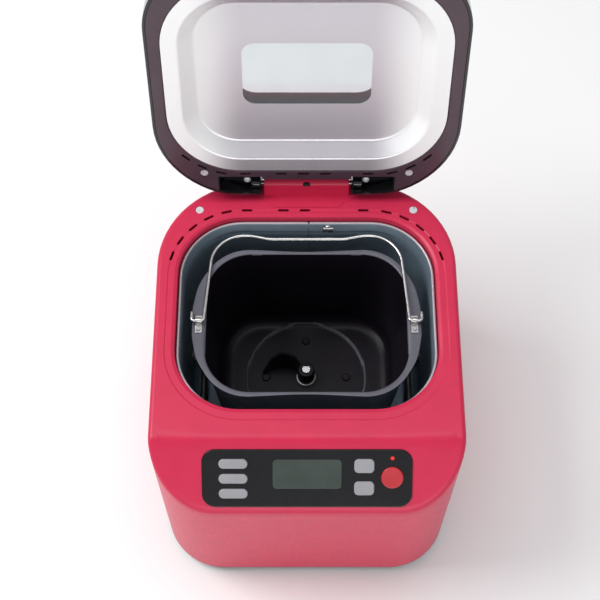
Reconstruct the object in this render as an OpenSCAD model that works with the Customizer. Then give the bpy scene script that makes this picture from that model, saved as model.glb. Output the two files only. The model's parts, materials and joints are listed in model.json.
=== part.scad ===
// Bread machine: housing with baking chamber, hinged lid, lift-out pan with bail and
// kneading paddle, and the belt drive below. Millimetres, +Z up, front faces -Y.
// Heights are above the surface that the feet stand on. Plan positions inside the
// modules are taken from the drive axis, and at_drive() puts them in the part's frame.

/* [Body] */
// Width of the housing
body_w = 284; // [282:1:290]
// Housing ahead of the drive axis
body_front = 181; // [179:1:188]
// Housing behind the drive axis
body_rear = 141; // [141:1:144]
// Height of the flat deck
deck_z = 238; // [236:1:242]
// Corner radius at the back in plan
rear_r = 90; // [84:1:92]
// Corner radius at the front in plan
front_r = 58; // [54:1:60]
// Wall of the plastic shells
wall = 2.5; // [2:0.1:3]
// Drive axis from the middle of the overall length with the lid open
axis_y = -19; // [-24:1:-16]

/* [Deck] */
// Width of the chamber opening
open_w = 243; // [242.5:0.5:244]
// Depth of the chamber opening
open_d = 198; // [197.5:0.5:199]
// Corner radius of the chamber opening
open_r = 60.5; // [59:0.5:62]
// Deck edge to the line of vent slots
groove_out = 9.5; // [8:0.5:11]
// Start of the sloping panel ahead of the drive axis
panel_start = 127; // [126:1:129]
// Drop of the sloping panel to the front edge
panel_drop = 44; // [42:1:46]

/* [Lid] */
// Opening angle of the lid at rest
lid_open = 105; // [100:1:105]
// Hinge axis behind the drive axis
hinge_y = 132; // [131.5:0.5:132]
// Hinge axis above the deck
hinge_h = 12.5; // [12.5:0.5:13.5]
// Lid ahead of the drive axis
lid_front = 123; // [121:1:125]
// Height of the crown above the hinge axis
crown = 29; // [28:1:31]
// Reflector edge outside the chamber opening
reflector_out = 6; // [5:0.5:7]
// Width of the viewing window
window_w = 132; // [110:1:140]
// Depth of the viewing window
window_d = 84; // [70:1:90]

/* [Chamber] */
// Inside width of the baking chamber
chamber_w = 236; // [235:0.5:236.5]
// Inside depth of the baking chamber
chamber_d = 191; // [190.5:0.5:191.5]
// Height of the chamber floor
chamber_floor = 60; // [59.5:0.5:60.5]
// Tube radius of the heating element
heater_r = 3.25; // [3:0.05:3.4]

/* [Pan] */
// Inside width at the rim
pan_w = 190; // [188:0.5:191]
// Inside depth at the rim
pan_d = 143.5; // [142:0.5:144]
// Corner radius at the rim
pan_r = 42; // [40:0.5:44]
// Rim below the deck
pan_drop = 22.5; // [22:0.5:23]
// Inside height from the rim to the outer floor
pan_h = 131.8; // [131:0.1:132.5]
// Taper of each end from rim to floor
pan_taper_x = 8; // [6:0.5:10]
// Taper of each long side from rim to floor
pan_taper_y = 6.5; // [5:0.5:8]
// Sheet of the pan
pan_t = 1.6; // [1.4:0.1:1.8]
// Radius of the round step in the floor
step_r = 61; // [58:0.5:62]
// Half-width over the ears
ear_x = 108.5; // [108:0.5:109]
// Rivet circle radius
rivet_circle = 41.4; // [40:0.1:42]

/* [Bail] */
// Wire radius
wire_r = 1.5; // [1.4:0.05:1.6]
// Length from the pivot to the cross wire
bail_len = 94; // [92:0.5:94]

/* [Drive] */
// Shaft radius
shaft_r = 4; // [3.8:0.1:4.2]
// Belt seat radius of the large pulley
pulley_r = 46.5; // [44:0.5:48]
// Belt seat radius of the motor pulley
pinion_r = 8.5; // [8:0.5:9]
// Motor axis to the right of the drive axis
motor_x = 72; // [71:1:73]
// Motor axis ahead of the drive axis
motor_y = 136; // [135:1:137]
// Height of the chassis plate's top
chassis_z = 48; // [47.5:0.5:48.5]

/* [Panel] */
// Width of the control fascia
fascia_w = 188; // [186:1:190]
// Height of the control fascia along the slope
fascia_h = 54; // [53:1:55]
// Travel of a button
travel = 1.2; // [1:0.1:1.4]

/* [Hidden] */
$fn = 96;
SKIN = 3;
GAP = 0.3;
RUN = 0.05;
FIT = 0.02;
BIG = 600;
HULL_FN = 40;

// back panel
back_w = 98;
back_low = 22;
back_h = 114;

// panel
panel_run = body_front - panel_start;
panel_tilt = atan(panel_drop / panel_run);
fascia_v = 33;
fascia_low = -0.8;
fascia_top = 1.2;
display_v = 37;
board_top = -12.4;
// places and sizes of the buttons on the panel: x, v, width, height, corner radius
menu_key = [-66, 47, 26, 9, 4.4];
crust_key = [-66, 33, 26, 9, 4.4];
loaf_key = [-66, 19, 26, 9, 4.4];
up_key = [51, 45, 18, 13, 4];
down_key = [51, 24, 18, 13, 4];
start_key = [76, 34, 20, 20, 9.9];
keys = [menu_key, crust_key, loaf_key, up_key, down_key, start_key];
light_place = [76, 52];

// lid, from the hinge axis
lid_low = GAP - hinge_h;
lid_tip = -hinge_y - lid_front;
bay_in = 43;
bay_out = 84;
bay_front = -19;
hinge_screw_x = bay_in + 16;
hinge_screw_y = -9;
pin_r = 2.5;
dish = 12;
glass_t = 4;
glass_low = lid_low + dish + 0.8;
lid_screw_places = [[-97, 108.5], [97, 108.5], [-101, -99], [101, -99]];

// pan
pan_rim = deck_z - pan_drop;
pan_floor = pan_rim - pan_h;
step_d = 2.5;
step_floor = pan_floor - step_d;
pan_under = step_floor - pan_t;
flange_out = 6;
shaft_top = step_floor + 21.4;
bush_top = step_floor + 2;
seal_top = bush_top + 1.2;
paddle_low = seal_top + GAP;
bail_z = pan_rim + 5.5;
bail_y = -2;
bail_lean = 2.5;
hook_x = 108.6;
leg_x = 97;
hook_r = 2.5;
bail_bend = 32;
bail_lean_in = 4.5;
bail_dip = 4;
dip_a = 12;
dip_r = 40;
dip_run = (bail_dip - 2 * dip_r * (1 - cos(dip_a))) / sin(dip_a);
leg_start = hook_r * (1 - sin(bail_lean_in));
leg_run = (bail_len - bail_bend - leg_start + bail_bend * sin(bail_lean_in)) / cos(bail_lean_in);
bail_corner = [leg_x - leg_run * sin(bail_lean_in) - bail_bend * cos(bail_lean_in),
    bail_len - bail_bend];
cross_x = bail_corner.x - 0.5 - 2 * dip_r * sin(dip_a) - dip_run * cos(dip_a);

// drive
socket_top = chamber_floor + 2.2;
ring_r = 52;
dog_z = socket_top + GAP;
wing_z = dog_z + 2.5;
wing_h = 6;
bush_low = wing_z + wing_h + 1.6;
pulley_z = 12.5;
pulley_t = 12;
belt_t = 1.6;
belt_w = 8;
belt_gap = 0.2;
motor_r = 32;
motor_h = 58;
rotor_r = 20;
motor_shaft_r = 3;
heater_z = chamber_floor + 18;
heater_in = 12;
terminal_x = 14;
posts = [[-104, -128], [104, -128], [-96, 62], [96, 62]];
feet = [[-96, -150], [96, -150], [-84, 92], [84, 92]];
motor_holes = [[-22, -12], [22, -12], [-22, 12], [22, 12]];

// ---- frames ----

// Plan positions from the drive axis
module at_drive() {
    translate([0, axis_y, 0]) children();
}

// Sloping panel: x across, y up the slope from the front edge, z out of the surface
module on_panel() {
    at_drive()
        translate([0, -body_front, deck_z - panel_drop])
            rotate([panel_tilt, 0, 0]) children();
}

// Lid drawn closed and from the hinge axis, turned to its open rest place
module on_lid() {
    at_drive()
        translate([0, hinge_y, deck_z + hinge_h])
            rotate([-lid_open, 0, 0]) children();
}

// ---- shared shapes ----

module rounded(w, d, r) {
    square([w - 2 * r, d], center = true);
    square([w, d - 2 * r], center = true);
    for (x = [-1, 1], y = [-1, 1])
        translate([x * (w / 2 - r), y * (d / 2 - r)]) circle(r);
}

module slab(w, d, r, z, h) {
    translate([0, 0, z]) linear_extrude(h) rounded(w, d, r);
}

// Plan outline with its own reach and corner radius at the front and at the back, inset by i
module plan(i, front, rear, fr, rr) {
    hw = body_w / 2;
    translate([i - hw, fr - front]) square([2 * (hw - i), front - fr + rear - rr]);
    translate([rr - hw, 0]) square([2 * (hw - rr), rear - i]);
    translate([fr - hw, i - front]) square([2 * (hw - fr), front - i]);
    for (x = [-1, 1]) {
        translate([x * (hw - rr), rear - rr]) circle(rr - i);
        translate([x * (hw - fr), fr - front]) circle(fr - i);
    }
}

module body_plan(i) {
    plan(i, body_front, body_rear, front_r, rear_r);
}

module lid_plan(i) {
    translate([0, -hinge_y])
        plan(i + 0.5, lid_front, body_rear, front_r + 10, rear_r);
}

// Housing form from z0 up, inset in plan by i and lowered under the deck and panel by t
module body_form(i, t, z0) {
    difference() {
        translate([0, 0, z0]) linear_extrude(deck_z - t - z0) body_plan(i);
        translate([0, -body_front, deck_z - panel_drop])
            rotate([panel_tilt, 0, 0])
                translate([-BIG / 2, -BIG / 2, -t]) cube([BIG, BIG, BIG / 2]);
    }
}

module rod(p, q, r) {
    v = q - p;
    translate(p)
        rotate([0, acos(v.z / norm(v)), atan2(v.y, v.x)]) cylinder(r = r, h = norm(v));
}

// Round bar along X about its middle
module bar_x(r, len) {
    rotate([0, 90, 0]) cylinder(r = r, h = len, center = true);
}

module ring(r_out, r_in, h) {
    difference() {
        cylinder(r = r_out, h = h);
        translate([0, 0, -1]) cylinder(r = r_in, h = h + 2);
    }
}

// Screw with a cross slot in its head, pointing down from z = 0
module screw(r, len, head_r, head_h) {
    translate([0, 0, -len]) cylinder(r = r, h = len);
    difference() {
        cylinder(r = head_r, h = head_h);
        for (a = [0, 90]) rotate([0, 0, a])
            translate([-0.6 * head_r, -0.5, head_h / 2]) cube([1.2 * head_r, 1, head_h]);
    }
}

// ---- housing ----

module outer_housing() {
    color("crimson") at_drive() difference() {
        body_form(0, SKIN, 10);
        body_form(wall, SKIN - 1, 8);
        // window for the back panel
        translate([-back_w / 2 - GAP, body_rear - 6, back_low - GAP])
            cube([back_w + 2 * GAP, 12, back_h + 2 * GAP]);
    }
}

// Panel set into the back wall, with the air vents and the hole for the cord gland
module back_panel() {
    color("crimson") at_drive() difference() {
        union() {
            translate([-back_w / 2, body_rear - wall - 1, back_low]) cube([back_w, wall + 1, back_h]);
            translate([-back_w / 2 - 2, body_rear - wall - 1.5 - FIT, back_low - 2])
                cube([back_w + 4, 1.5, back_h + 4]);
        }
        for (x = [-42.25 : 9 : 38.75])
            translate([x, body_rear - 6, 90]) cube([3.5, 12, 36]);
        translate([38, body_rear + 5, 34]) rotate([90, 0, 0]) cylinder(r = 8.2, h = 12);
        // clear of the base plate's wall
        translate([-back_w, body_rear - wall - 10, 0]) cube([2 * back_w, 10, 24.5]);
    }
}

module vent_slot(x, y, a, z, h) {
    translate([x, y, z]) rotate([0, 0, a]) translate([-5.25, -1.2, 0]) cube([10.5, 2.4, h]);
}

// Slots on a line parallel to the opening's edge, round the back corners and along the back
module deck_slots() {
    gr = open_r + groove_out;
    for (s = [-1, 1], a = [13.5 : 15 : 73.5])
        vent_slot(s * (open_w / 2 - open_r + gr * sin(a)), open_d / 2 - open_r + gr * cos(a),
            -s * a, deck_z - 5, 10);
    for (x = [-57.5, -22.3, -1.4, 55])
        vent_slot(x, open_d / 2 + groove_out, 0, deck_z - 5, 10);
}

module hinge_block() {
    translate([-41, 0, deck_z - 1])
        rotate([90, 0, 90]) linear_extrude(82) {
            translate([hinge_y - 7, 0]) square([14, hinge_h + 4]);
            translate([hinge_y, hinge_h + 4]) circle(7);
        }
}

module top_deck() {
    screw_y = 108.8;
    color("crimson") difference() {
        at_drive() union() {
            difference() {
                body_form(0, 0, deck_z - panel_drop - 8);
                body_form(-1, SKIN, 0);
            }
            // lip turned down round the opening
            slab(open_w + 4, open_d + 4, open_r + 2, deck_z - 9, 8);
            hinge_block();
            for (x = [-103.4, 103.4])
                translate([x, screw_y, deck_z - 22]) cylinder(r = 5, h = 20);
        }
        at_drive() {
            slab(open_w, open_d, open_r, deck_z - 40, 60);
            // shallow recess ahead of the hinge block
            translate([0, 0, deck_z - 0.8]) linear_extrude(5)
                polygon([[-31, 111.4], [31, 111.4], [37, 117], [37, 124.5],
                    [-37, 124.5], [-37, 117]]);
            deck_slots();
            for (x = [-103.4, 103.4]) translate([x, screw_y, deck_z]) {
                translate([0, 0, -24]) cylinder(r = 1.5, h = 30);
                translate([0, 0, -2.2]) cylinder(r = 4.2, h = 10);
            }
            // notch in the top of the hinge block
            translate([0, hinge_y - 7, deck_z + hinge_h + 4]) cylinder(r = 3.6, h = 12);
            translate([0, hinge_y, deck_z + hinge_h]) bar_x(pin_r + FIT, 100);
        }
        on_panel() translate([0, fascia_v, 0]) {
            slab(fascia_w - 8, fascia_h - 8, 8, -20, 40);
            slab(fascia_w + 0.4, fascia_h + 0.4, 12.2, fascia_low, 20);
        }
    }
}

module base_plate() {
    color("dimgray") at_drive() difference() {
        union() {
            difference() {
                translate([0, 0, 5]) linear_extrude(19) body_plan(wall + GAP);
                translate([0, 0, 8]) linear_extrude(30) body_plan(wall + GAP + 2);
            }
            difference() {
                translate([0, 0, 5]) linear_extrude(5 - GAP) body_plan(1.5);
                translate([0, 0, 8]) linear_extrude(30) body_plan(wall + GAP + 1);
            }
            for (p = posts) translate([p.x, p.y, 7]) cylinder(r = 5, h = chassis_z - 9);
        }
        for (p = posts) translate([p.x, p.y, 0]) cylinder(r = 1.6, h = BIG);
        // air slots under the motor
        for (i = [0 : 4])
            translate([motor_x - 28 + 9 * i, -motor_y - 18, 0]) cube([4, 36, 20]);
    }
}

module rubber_feet() {
    color("black") at_drive() for (p = feet) translate([p.x, p.y, 0]) {
        cylinder(r1 = 10, r2 = 11.5, h = 1.5);
        translate([0, 0, 1.5]) cylinder(r = 11.5, h = 3.5);
    }
}

module base_screws() {
    color("silver") at_drive() for (p = posts)
        translate([p.x, p.y, 5]) rotate([180, 0, 0]) screw(1.55, 24, 3.4, 1.8);
}

module deck_screws() {
    color("silver") at_drive() for (x = [-103.4, 103.4])
        translate([x, 108.8, deck_z - 2.15]) screw(1.45, 18, 3.8, 1.9);
}

module chassis_plate() {
    color("lightsteelblue") at_drive() difference() {
        union() {
            translate([0, -49, 0]) slab(224, 242, 20, chassis_z - 2, 2);
            // pressed pads under the chamber floor
            for (x = [-70, 70], y = [-50, 50])
                translate([x, y, chassis_z - 1]) cylinder(r = 8, h = chamber_floor - chassis_z);
            // pads for the power board
            for (x = [-36, 36], y = [-22, 22])
                translate([x - 66, y - 138, chassis_z - 1]) cylinder(r = 3, h = 5);
        }
        translate([0, 0, chassis_z - 10]) cylinder(r = 11 + FIT, h = 20);
        translate([motor_x, -motor_y, chassis_z - 10]) cylinder(r = 9, h = 20);
        for (m = motor_holes)
            translate([motor_x + m.x, m.y - motor_y, chassis_z - 10]) cylinder(r = 2.1, h = 20);
        for (p = posts) translate([p.x, p.y, chassis_z - 10]) cylinder(r = 1.8, h = 20);
        for (a = [45 : 90 : 315]) rotate([0, 0, a])
            translate([18, 0, chassis_z - 10]) cylinder(r = 1.6, h = 20);
    }
}

module bearing_housing() {
    color("gray") at_drive() difference() {
        union() {
            translate([0, 0, 28]) cylinder(r = 11, h = 28);
            translate([0, 0, chassis_z]) cylinder(r = 23, h = 3);
        }
        translate([0, 0, 20]) cylinder(r = 7.5, h = 50);
        for (a = [45 : 90 : 315]) rotate([0, 0, a])
            translate([18, 0, 40]) cylinder(r = 1.6, h = 20);
    }
}

module shaft_bushes() {
    color("goldenrod") at_drive() for (z = [28, 46])
        translate([0, 0, z]) ring(7.5 - FIT, shaft_r + RUN, 10);
}

module baking_chamber() {
    outer = 2;
    corner = open_r - (open_w - chamber_w) / 2;
    color("slategray") at_drive() difference() {
        union() {
            slab(chamber_w + outer, chamber_d + outer, corner + 1, chamber_floor - 1,
                deck_z - 9.5 - chamber_floor);
            // rolled rim
            slab(chamber_w + 6, chamber_d + 6, corner + 3, deck_z - 11, 3);
        }
        slab(chamber_w, chamber_d, corner, chamber_floor, BIG);
        translate([0, 0, chamber_floor - 5]) cylinder(r = 12, h = 10);
        for (x = [-terminal_x, terminal_x])
            translate([x, chamber_d / 2 + 5, heater_z]) rotate([90, 0, 0])
                cylinder(r = heater_r + 0.4, h = 12);
    }
}

module temperature_sensor() {
    color("lightgray") at_drive() translate([21, chamber_d / 2, deck_z - 15]) {
        translate([-5, -1.4, -3.5]) cube([10, 1.4, 7]);
        translate([0, 1 + FIT, 0]) rotate([-90, 0, 0]) cylinder(r = 4, h = 12);
    }
}

// Loop of tube near the chamber floor, open at the back, where its ends pass through the wall
module heating_element() {
    hx = chamber_w / 2 - heater_in;
    hy = chamber_d / 2 - heater_in;
    bend = 46;
    color("dimgray") at_drive() translate([0, 0, heater_z]) {
        for (x = [-1, 1], y = [-1, 1]) {
            a = x > 0 ? (y > 0 ? 0 : 270) : (y > 0 ? 90 : 180);
            translate([x * (hx - bend), y * (hy - bend), 0]) rotate([0, 0, a])
                rotate_extrude(angle = 90) translate([bend, 0]) circle(heater_r);
        }
        for (x = [-1, 1]) {
            rod([x * hx, bend - hy, 0], [x * hx, hy - bend, 0], heater_r);
            rod([x * terminal_x, hy, 0], [x * (hx - bend), hy, 0], heater_r);
            translate([x * terminal_x, hy, 0]) sphere(heater_r);
            rod([x * terminal_x, hy, 0], [x * terminal_x, hy + 26, 0], heater_r);
        }
        rod([bend - hx, -hy, 0], [hx - bend, -hy, 0], heater_r);
    }
}

// Clip round the tube with a tab to the wall, tube along Y and wall towards +X
module heater_clip() {
    difference() {
        union() {
            rotate([90, 0, 0]) cylinder(r = heater_r + 1.3, h = 6, center = true);
            translate([heater_r, -3, -1]) cube([heater_in - heater_r - FIT, 6, 2]);
            translate([heater_in - 1.2, -3, -5]) cube([1.2 - FIT, 6, 14]);
        }
        rotate([90, 0, 0]) cylinder(r = heater_r + FIT, h = 10, center = true);
    }
}

module heater_clips() {
    hx = chamber_w / 2 - heater_in;
    hy = chamber_d / 2 - heater_in;
    color("silver") at_drive() translate([0, 0, heater_z]) {
        for (y = [-24, 24]) {
            translate([hx, y, 0]) heater_clip();
            translate([-hx, y, 0]) rotate([0, 0, 180]) heater_clip();
        }
        for (x = [-40, 40]) translate([x, -hy, 0]) rotate([0, 0, -90]) heater_clip();
    }
}

module pan_socket() {
    color("silver") at_drive() difference() {
        union() {
            translate([0, 0, chamber_floor]) cylinder(r = 66, h = 2.2);
            translate([0, 0, chamber_floor]) cylinder(r = 56, h = 16);
        }
        translate([0, 0, socket_top]) cylinder(r = ring_r + 1.2, h = 30);
        translate([0, 0, chamber_floor - 5]) cylinder(r = 12, h = 20);
        // gaps for the spring clips
        for (a = [0, 180]) rotate([0, 0, a])
            translate([ring_r - 2, -8, socket_top + 2]) cube([10, 16, 30]);
    }
}

module socket_springs() {
    color("silver") at_drive() for (a = [0, 180]) rotate([0, 0, a]) {
        translate([56.2, -7, socket_top + FIT]) cube([0.8, 14, 15]);
        translate([ring_r + GAP, -7, socket_top + 14.2]) cube([4.5, 14, 0.8]);
        translate([ring_r + GAP, -7, socket_top + 7]) cube([0.8, 14, 8]);
    }
}

module belt_line(grow) {
    hull() {
        circle(pulley_r + belt_gap + grow);
        translate([motor_x, -motor_y]) circle(pinion_r + belt_gap + grow);
    }
}

module drive_belt() {
    color("black") at_drive() translate([0, 0, pulley_z + (pulley_t - belt_w) / 2])
        linear_extrude(belt_w) difference() {
            belt_line(belt_t);
            belt_line(0);
        }
}

module motor_case() {
    color("darkgray") at_drive() translate([motor_x, -motor_y, 0]) difference() {
        union() {
            translate([0, 0, chassis_z]) cylinder(r = motor_r, h = motor_h);
            translate([0, 0, chassis_z - 4]) cylinder(r = 8, h = motor_h + 9);
        }
        translate([0, 0, chassis_z + 8]) cylinder(r = rotor_r + 0.5, h = motor_h - 16);
        cylinder(r = motor_shaft_r + RUN, h = BIG);
        for (m = motor_holes) translate([m.x, m.y, chassis_z - 10]) cylinder(r = 1.9, h = 16);
    }
}

module motor_screws() {
    color("silver") at_drive() for (m = motor_holes)
        translate([motor_x + m.x, m.y - motor_y, chassis_z - 2]) rotate([180, 0, 0])
            screw(1.85, 7, 3.4, 2.2);
}

module run_capacitor() {
    color("white") at_drive() translate([10, -142, chassis_z]) {
        cylinder(r = 15, h = 46);
        for (x = [-5, 5]) translate([x - 1, -3, 45]) cube([2, 6, 9]);
    }
}

module power_board() {
    color("forestgreen") at_drive() translate([-66, -138, chassis_z + 4]) {
        translate([-42, -28, 0]) cube([84, 56, 1.6]);
        translate([8, -22, 1.5]) cube([16, 20, 15]);
        translate([8, 4, 1.5]) cube([22, 14, 11]);
        translate([34, -18, 1.5]) cylinder(r = 5, h = 20);
    }
}

module board_transformer() {
    color("gold") at_drive() translate([-88, -138, chassis_z + 5.6]) {
        translate([-15, -17, 0]) cube([30, 34, 24]);
        translate([-11, -20, 4]) cube([22, 40, 16]);
    }
}

module control_board() {
    color("forestgreen") on_panel() translate([0, fascia_v, 0])
        slab(176, 44, 3, board_top - 1.6, 1.6);
}

module lcd_module() {
    color("darkseagreen") on_panel() translate([0, display_v, 0])
        slab(60, 26, 1, board_top, -board_top - 3);
}

module tact_switches() {
    color("dimgray") on_panel() for (k = keys) translate([k[0], k[1], board_top]) {
        translate([-3, -3, 0]) cube([6, 6, 3.5]);
        translate([0, 0, 3.4]) cylinder(r = 1.7, h = 1.2);
    }
}

module control_fascia() {
    color("black") on_panel() difference() {
        translate([0, fascia_v, 0])
            slab(fascia_w, fascia_h, 12, fascia_low, fascia_top - fascia_low);
        translate([0, display_v, 0]) slab(62, 28, 4, -5, 10);
        for (k = keys) translate([k[0], k[1], 0])
            slab(k[2] + 2 * GAP, k[3] + 2 * GAP, k[4] + GAP, -5, 10);
        translate([light_place.x, light_place.y, -5]) cylinder(r = 1.8 + FIT, h = 10);
    }
}

module display_window() {
    color("darkslategray", 0.6) on_panel() translate([0, display_v, 0])
        slab(62 - 2 * FIT, 28 - 2 * FIT, 4 - FIT, fascia_low, fascia_top - fascia_low - 0.2);
}

module status_light() {
    color("tomato") on_panel() translate([light_place.x, light_place.y, 0]) {
        translate([0, 0, fascia_low - 3]) cylinder(r = 1.8, h = 4.6);
        translate([0, 0, fascia_low - 4]) cylinder(r = 2.4, h = 2);
    }
}

module cord_gland() {
    color("black") at_drive() translate([38, body_rear, 34]) rotate([-90, 0, 0])
        difference() {
            union() {
                translate([0, 0, -7]) cylinder(r = 8, h = 8);
                cylinder(r = 10, h = 3.5);
                translate([0, 0, -7]) cylinder(r = 9.2, h = 2.9);
            }
            translate([0, 0, -10]) cylinder(r = 3.6, h = 20);
        }
}

module hinge_pin() {
    color("silver") at_drive() translate([0, hinge_y, deck_z + hinge_h]) bar_x(pin_r, 106);
}

// ---- drive ----

module drive_shaft() {
    color("silver") at_drive() translate([0, 0, pulley_z])
        cylinder(r = shaft_r, h = dog_z - pulley_z);
}

module drive_dog() {
    color("dimgray") at_drive() {
        difference() {
            union() {
                translate([0, 0, 56.4]) cylinder(r = 9, h = dog_z - 56.4 + 1);
                translate([0, 0, dog_z]) cylinder(r = 15, h = 2);
            }
            translate([0, 0, 50]) cylinder(r = shaft_r + FIT, h = dog_z - 50);
        }
        for (a = [0, 180]) rotate([0, 0, a]) translate([11, 0, dog_z + 1])
            cylinder(r = 2.4, h = wing_h + 2.5);
    }
}

module large_pulley() {
    color("ivory") at_drive() translate([0, 0, pulley_z]) difference() {
        union() {
            cylinder(r = pulley_r, h = pulley_t);
            cylinder(r = pulley_r + 2, h = 1.6);
            translate([0, 0, pulley_t - 1.6]) cylinder(r = pulley_r + 2, h = 1.6);
        }
        for (z = [-1, 8]) translate([0, 0, z]) ring(pulley_r - 4, 10, 5);
        for (a = [0 : 72 : 288]) rotate([0, 0, a])
            translate([26, 0, -5]) cylinder(r = 8, h = 30);
        translate([0, 0, -5]) cylinder(r = shaft_r + FIT, h = 30);
    }
}

module motor_shaft() {
    color("silver") at_drive() translate([motor_x, -motor_y, 0]) {
        translate([0, 0, pulley_z])
            cylinder(r = motor_shaft_r, h = chassis_z + motor_h - pulley_z + 10);
        translate([0, 0, chassis_z + 9]) cylinder(r = rotor_r, h = motor_h - 18);
    }
}

module motor_pulley() {
    color("dimgray") at_drive() translate([motor_x, -motor_y, pulley_z]) difference() {
        union() {
            cylinder(r = pinion_r, h = pulley_t);
            cylinder(r = pinion_r + 2, h = 1.6);
            translate([0, 0, pulley_t - 1.6]) cylinder(r = pinion_r + 2, h = 1.6);
        }
        translate([0, 0, -5]) cylinder(r = motor_shaft_r + FIT, h = 30);
    }
}

// ---- pan ----

// Solid form of the pan between rim and floor, grown outwards by t, with a rounded foot
module pan_form(t, top, low) {
    foot = 9;
    fw = pan_w - 2 * pan_taper_x;
    fd = pan_d - 2 * pan_taper_y;
    hull($fn = HULL_FN) {
        slab(pan_w + 2 * t, pan_d + 2 * t, pan_r + t, top - 0.1, 0.1, $fn = HULL_FN);
        slab(fw + 2 * t + 1, fd + 2 * t + 1, pan_r + t, low + foot, 0.1, $fn = HULL_FN);
        slab(fw + 2 * t - 5, fd + 2 * t - 5, pan_r + t - 3, low + foot / 3, 0.1, $fn = HULL_FN);
        slab(fw + 2 * t - 2 * foot, fd + 2 * t - 2 * foot, pan_r + t - foot, low, 0.1,
            $fn = HULL_FN);
    }
}

module bread_pan() {
    fx = pan_w / 2 + pan_t;
    color("dimgray") at_drive() difference() {
        union() {
            pan_form(pan_t, pan_rim, pan_floor - pan_t);
            translate([0, 0, pan_under]) cylinder(r = step_r + pan_t, h = step_d + pan_t);
            // rim flange with an ear at each end
            translate([0, 0, pan_rim - pan_t]) linear_extrude(pan_t) {
                rounded(pan_w + 2 * flange_out, pan_d + 2 * flange_out, pan_r + flange_out);
                for (s = [-1, 1])
                    polygon([[s * (fx - 10), -52], [s * fx, -52], [s * ear_x, -21],
                        [s * ear_x, 21], [s * fx, 52], [s * (fx - 10), 52]]);
            }
        }
        pan_form(0, pan_rim + 0.05, pan_floor);
        slab(pan_w, pan_d, pan_r, pan_rim - 0.02, 10);
        translate([0, 0, step_floor]) cylinder(r = step_r, h = step_d + 1);
        translate([0, 0, pan_under - 5]) cylinder(r = 8, h = 20);
        for (a = [0 : 90 : 270]) rotate([0, 0, a])
            translate([rivet_circle, 0, pan_under - 5]) cylinder(r = 2, h = 20);
    }
}

module pan_base_ring() {
    color("silver") at_drive() difference() {
        translate([0, 0, socket_top + GAP]) cylinder(r = ring_r, h = pan_under - socket_top - GAP);
        cylinder(r = ring_r - 1.5, h = pan_under - 1.5);
        cylinder(r = 32, h = BIG);
        for (a = [0 : 90 : 270]) rotate([0, 0, a])
            translate([rivet_circle, 0, pan_under - 9]) cylinder(r = 2, h = 20);
    }
}

module pan_rivets() {
    color("dimgray") at_drive() for (a = [0 : 90 : 270]) rotate([0, 0, a])
        translate([rivet_circle, 0, 0]) {
            translate([0, 0, pan_under - 3]) cylinder(r = 2 - FIT, h = pan_t + 3.5);
            translate([0, 0, step_floor]) cylinder(r1 = 4.6, r2 = 3.4, h = 1.4);
            translate([0, 0, pan_under - 3]) cylinder(r = 3.4, h = 1.5);
        }
}

module pan_bush() {
    color("gray") at_drive() difference() {
        union() {
            translate([0, 0, bush_low]) cylinder(r = 12, h = pan_under - bush_low);
            translate([0, 0, pan_under - 1]) cylinder(r = 8 - FIT, h = pan_t + 2);
            translate([0, 0, step_floor]) cylinder(r = 11.5, h = bush_top - step_floor);
        }
        translate([0, 0, bush_low - 5]) cylinder(r = shaft_r + RUN, h = 30);
    }
}

module shaft_seal() {
    color("black") at_drive() translate([0, 0, bush_top])
        ring(7, shaft_r + 0.1, seal_top - bush_top);
}

// Strip on each ear with an upright lug that holds the hook of the bail
module bail_brackets() {
    color("silver") at_drive() for (s = [-1, 1]) {
        difference() {
            union() {
                translate([s * 102 - 3.2, -12.5, pan_rim]) cube([6.4, 17.5, 1.2]);
                translate([s * 102 - 2.4, bail_y - 3, pan_rim]) cube([4.8, 6, 5.5]);
                translate([s * 102, bail_y, bail_z]) bar_x(3, 4.8);
            }
            translate([s * 102, bail_y, bail_z]) bar_x(wire_r + RUN, 20);
        }
        translate([s * 102, -9, pan_rim + 1]) cylinder(r1 = 2.2, r2 = 1.6, h = 1.2);
    }
}

module pan_shaft() {
    flat = shaft_r - 1;
    color("silver") at_drive() difference() {
        translate([0, 0, wing_z]) cylinder(r = shaft_r, h = shaft_top - wing_z);
        translate([-10, flat, paddle_low + 2]) cube([20, 10, 40]);
        translate([0, 0, bush_low - 1.3]) ring(10, shaft_r - 0.5, 0.9);
    }
}

module pan_wing() {
    color("gray") at_drive() difference() {
        union() {
            translate([0, 0, wing_z]) cylinder(r = 6.5, h = wing_h);
            for (a = [50, 230]) rotate([0, 0, a])
                translate([5.5, -1.6, wing_z + 0.2]) cube([8.5, 3.2, wing_h - 0.4]);
        }
        translate([0, 0, wing_z - 5]) cylinder(r = shaft_r + FIT, h = 20);
    }
}

module shaft_circlip() {
    color("silver") at_drive() translate([0, 0, bush_low - 1.25]) difference() {
        ring(6.5, shaft_r - 0.5 + FIT, 0.8);
        translate([-1.6, -10, -5]) cube([3.2, 10, 10]);
    }
}

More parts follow.
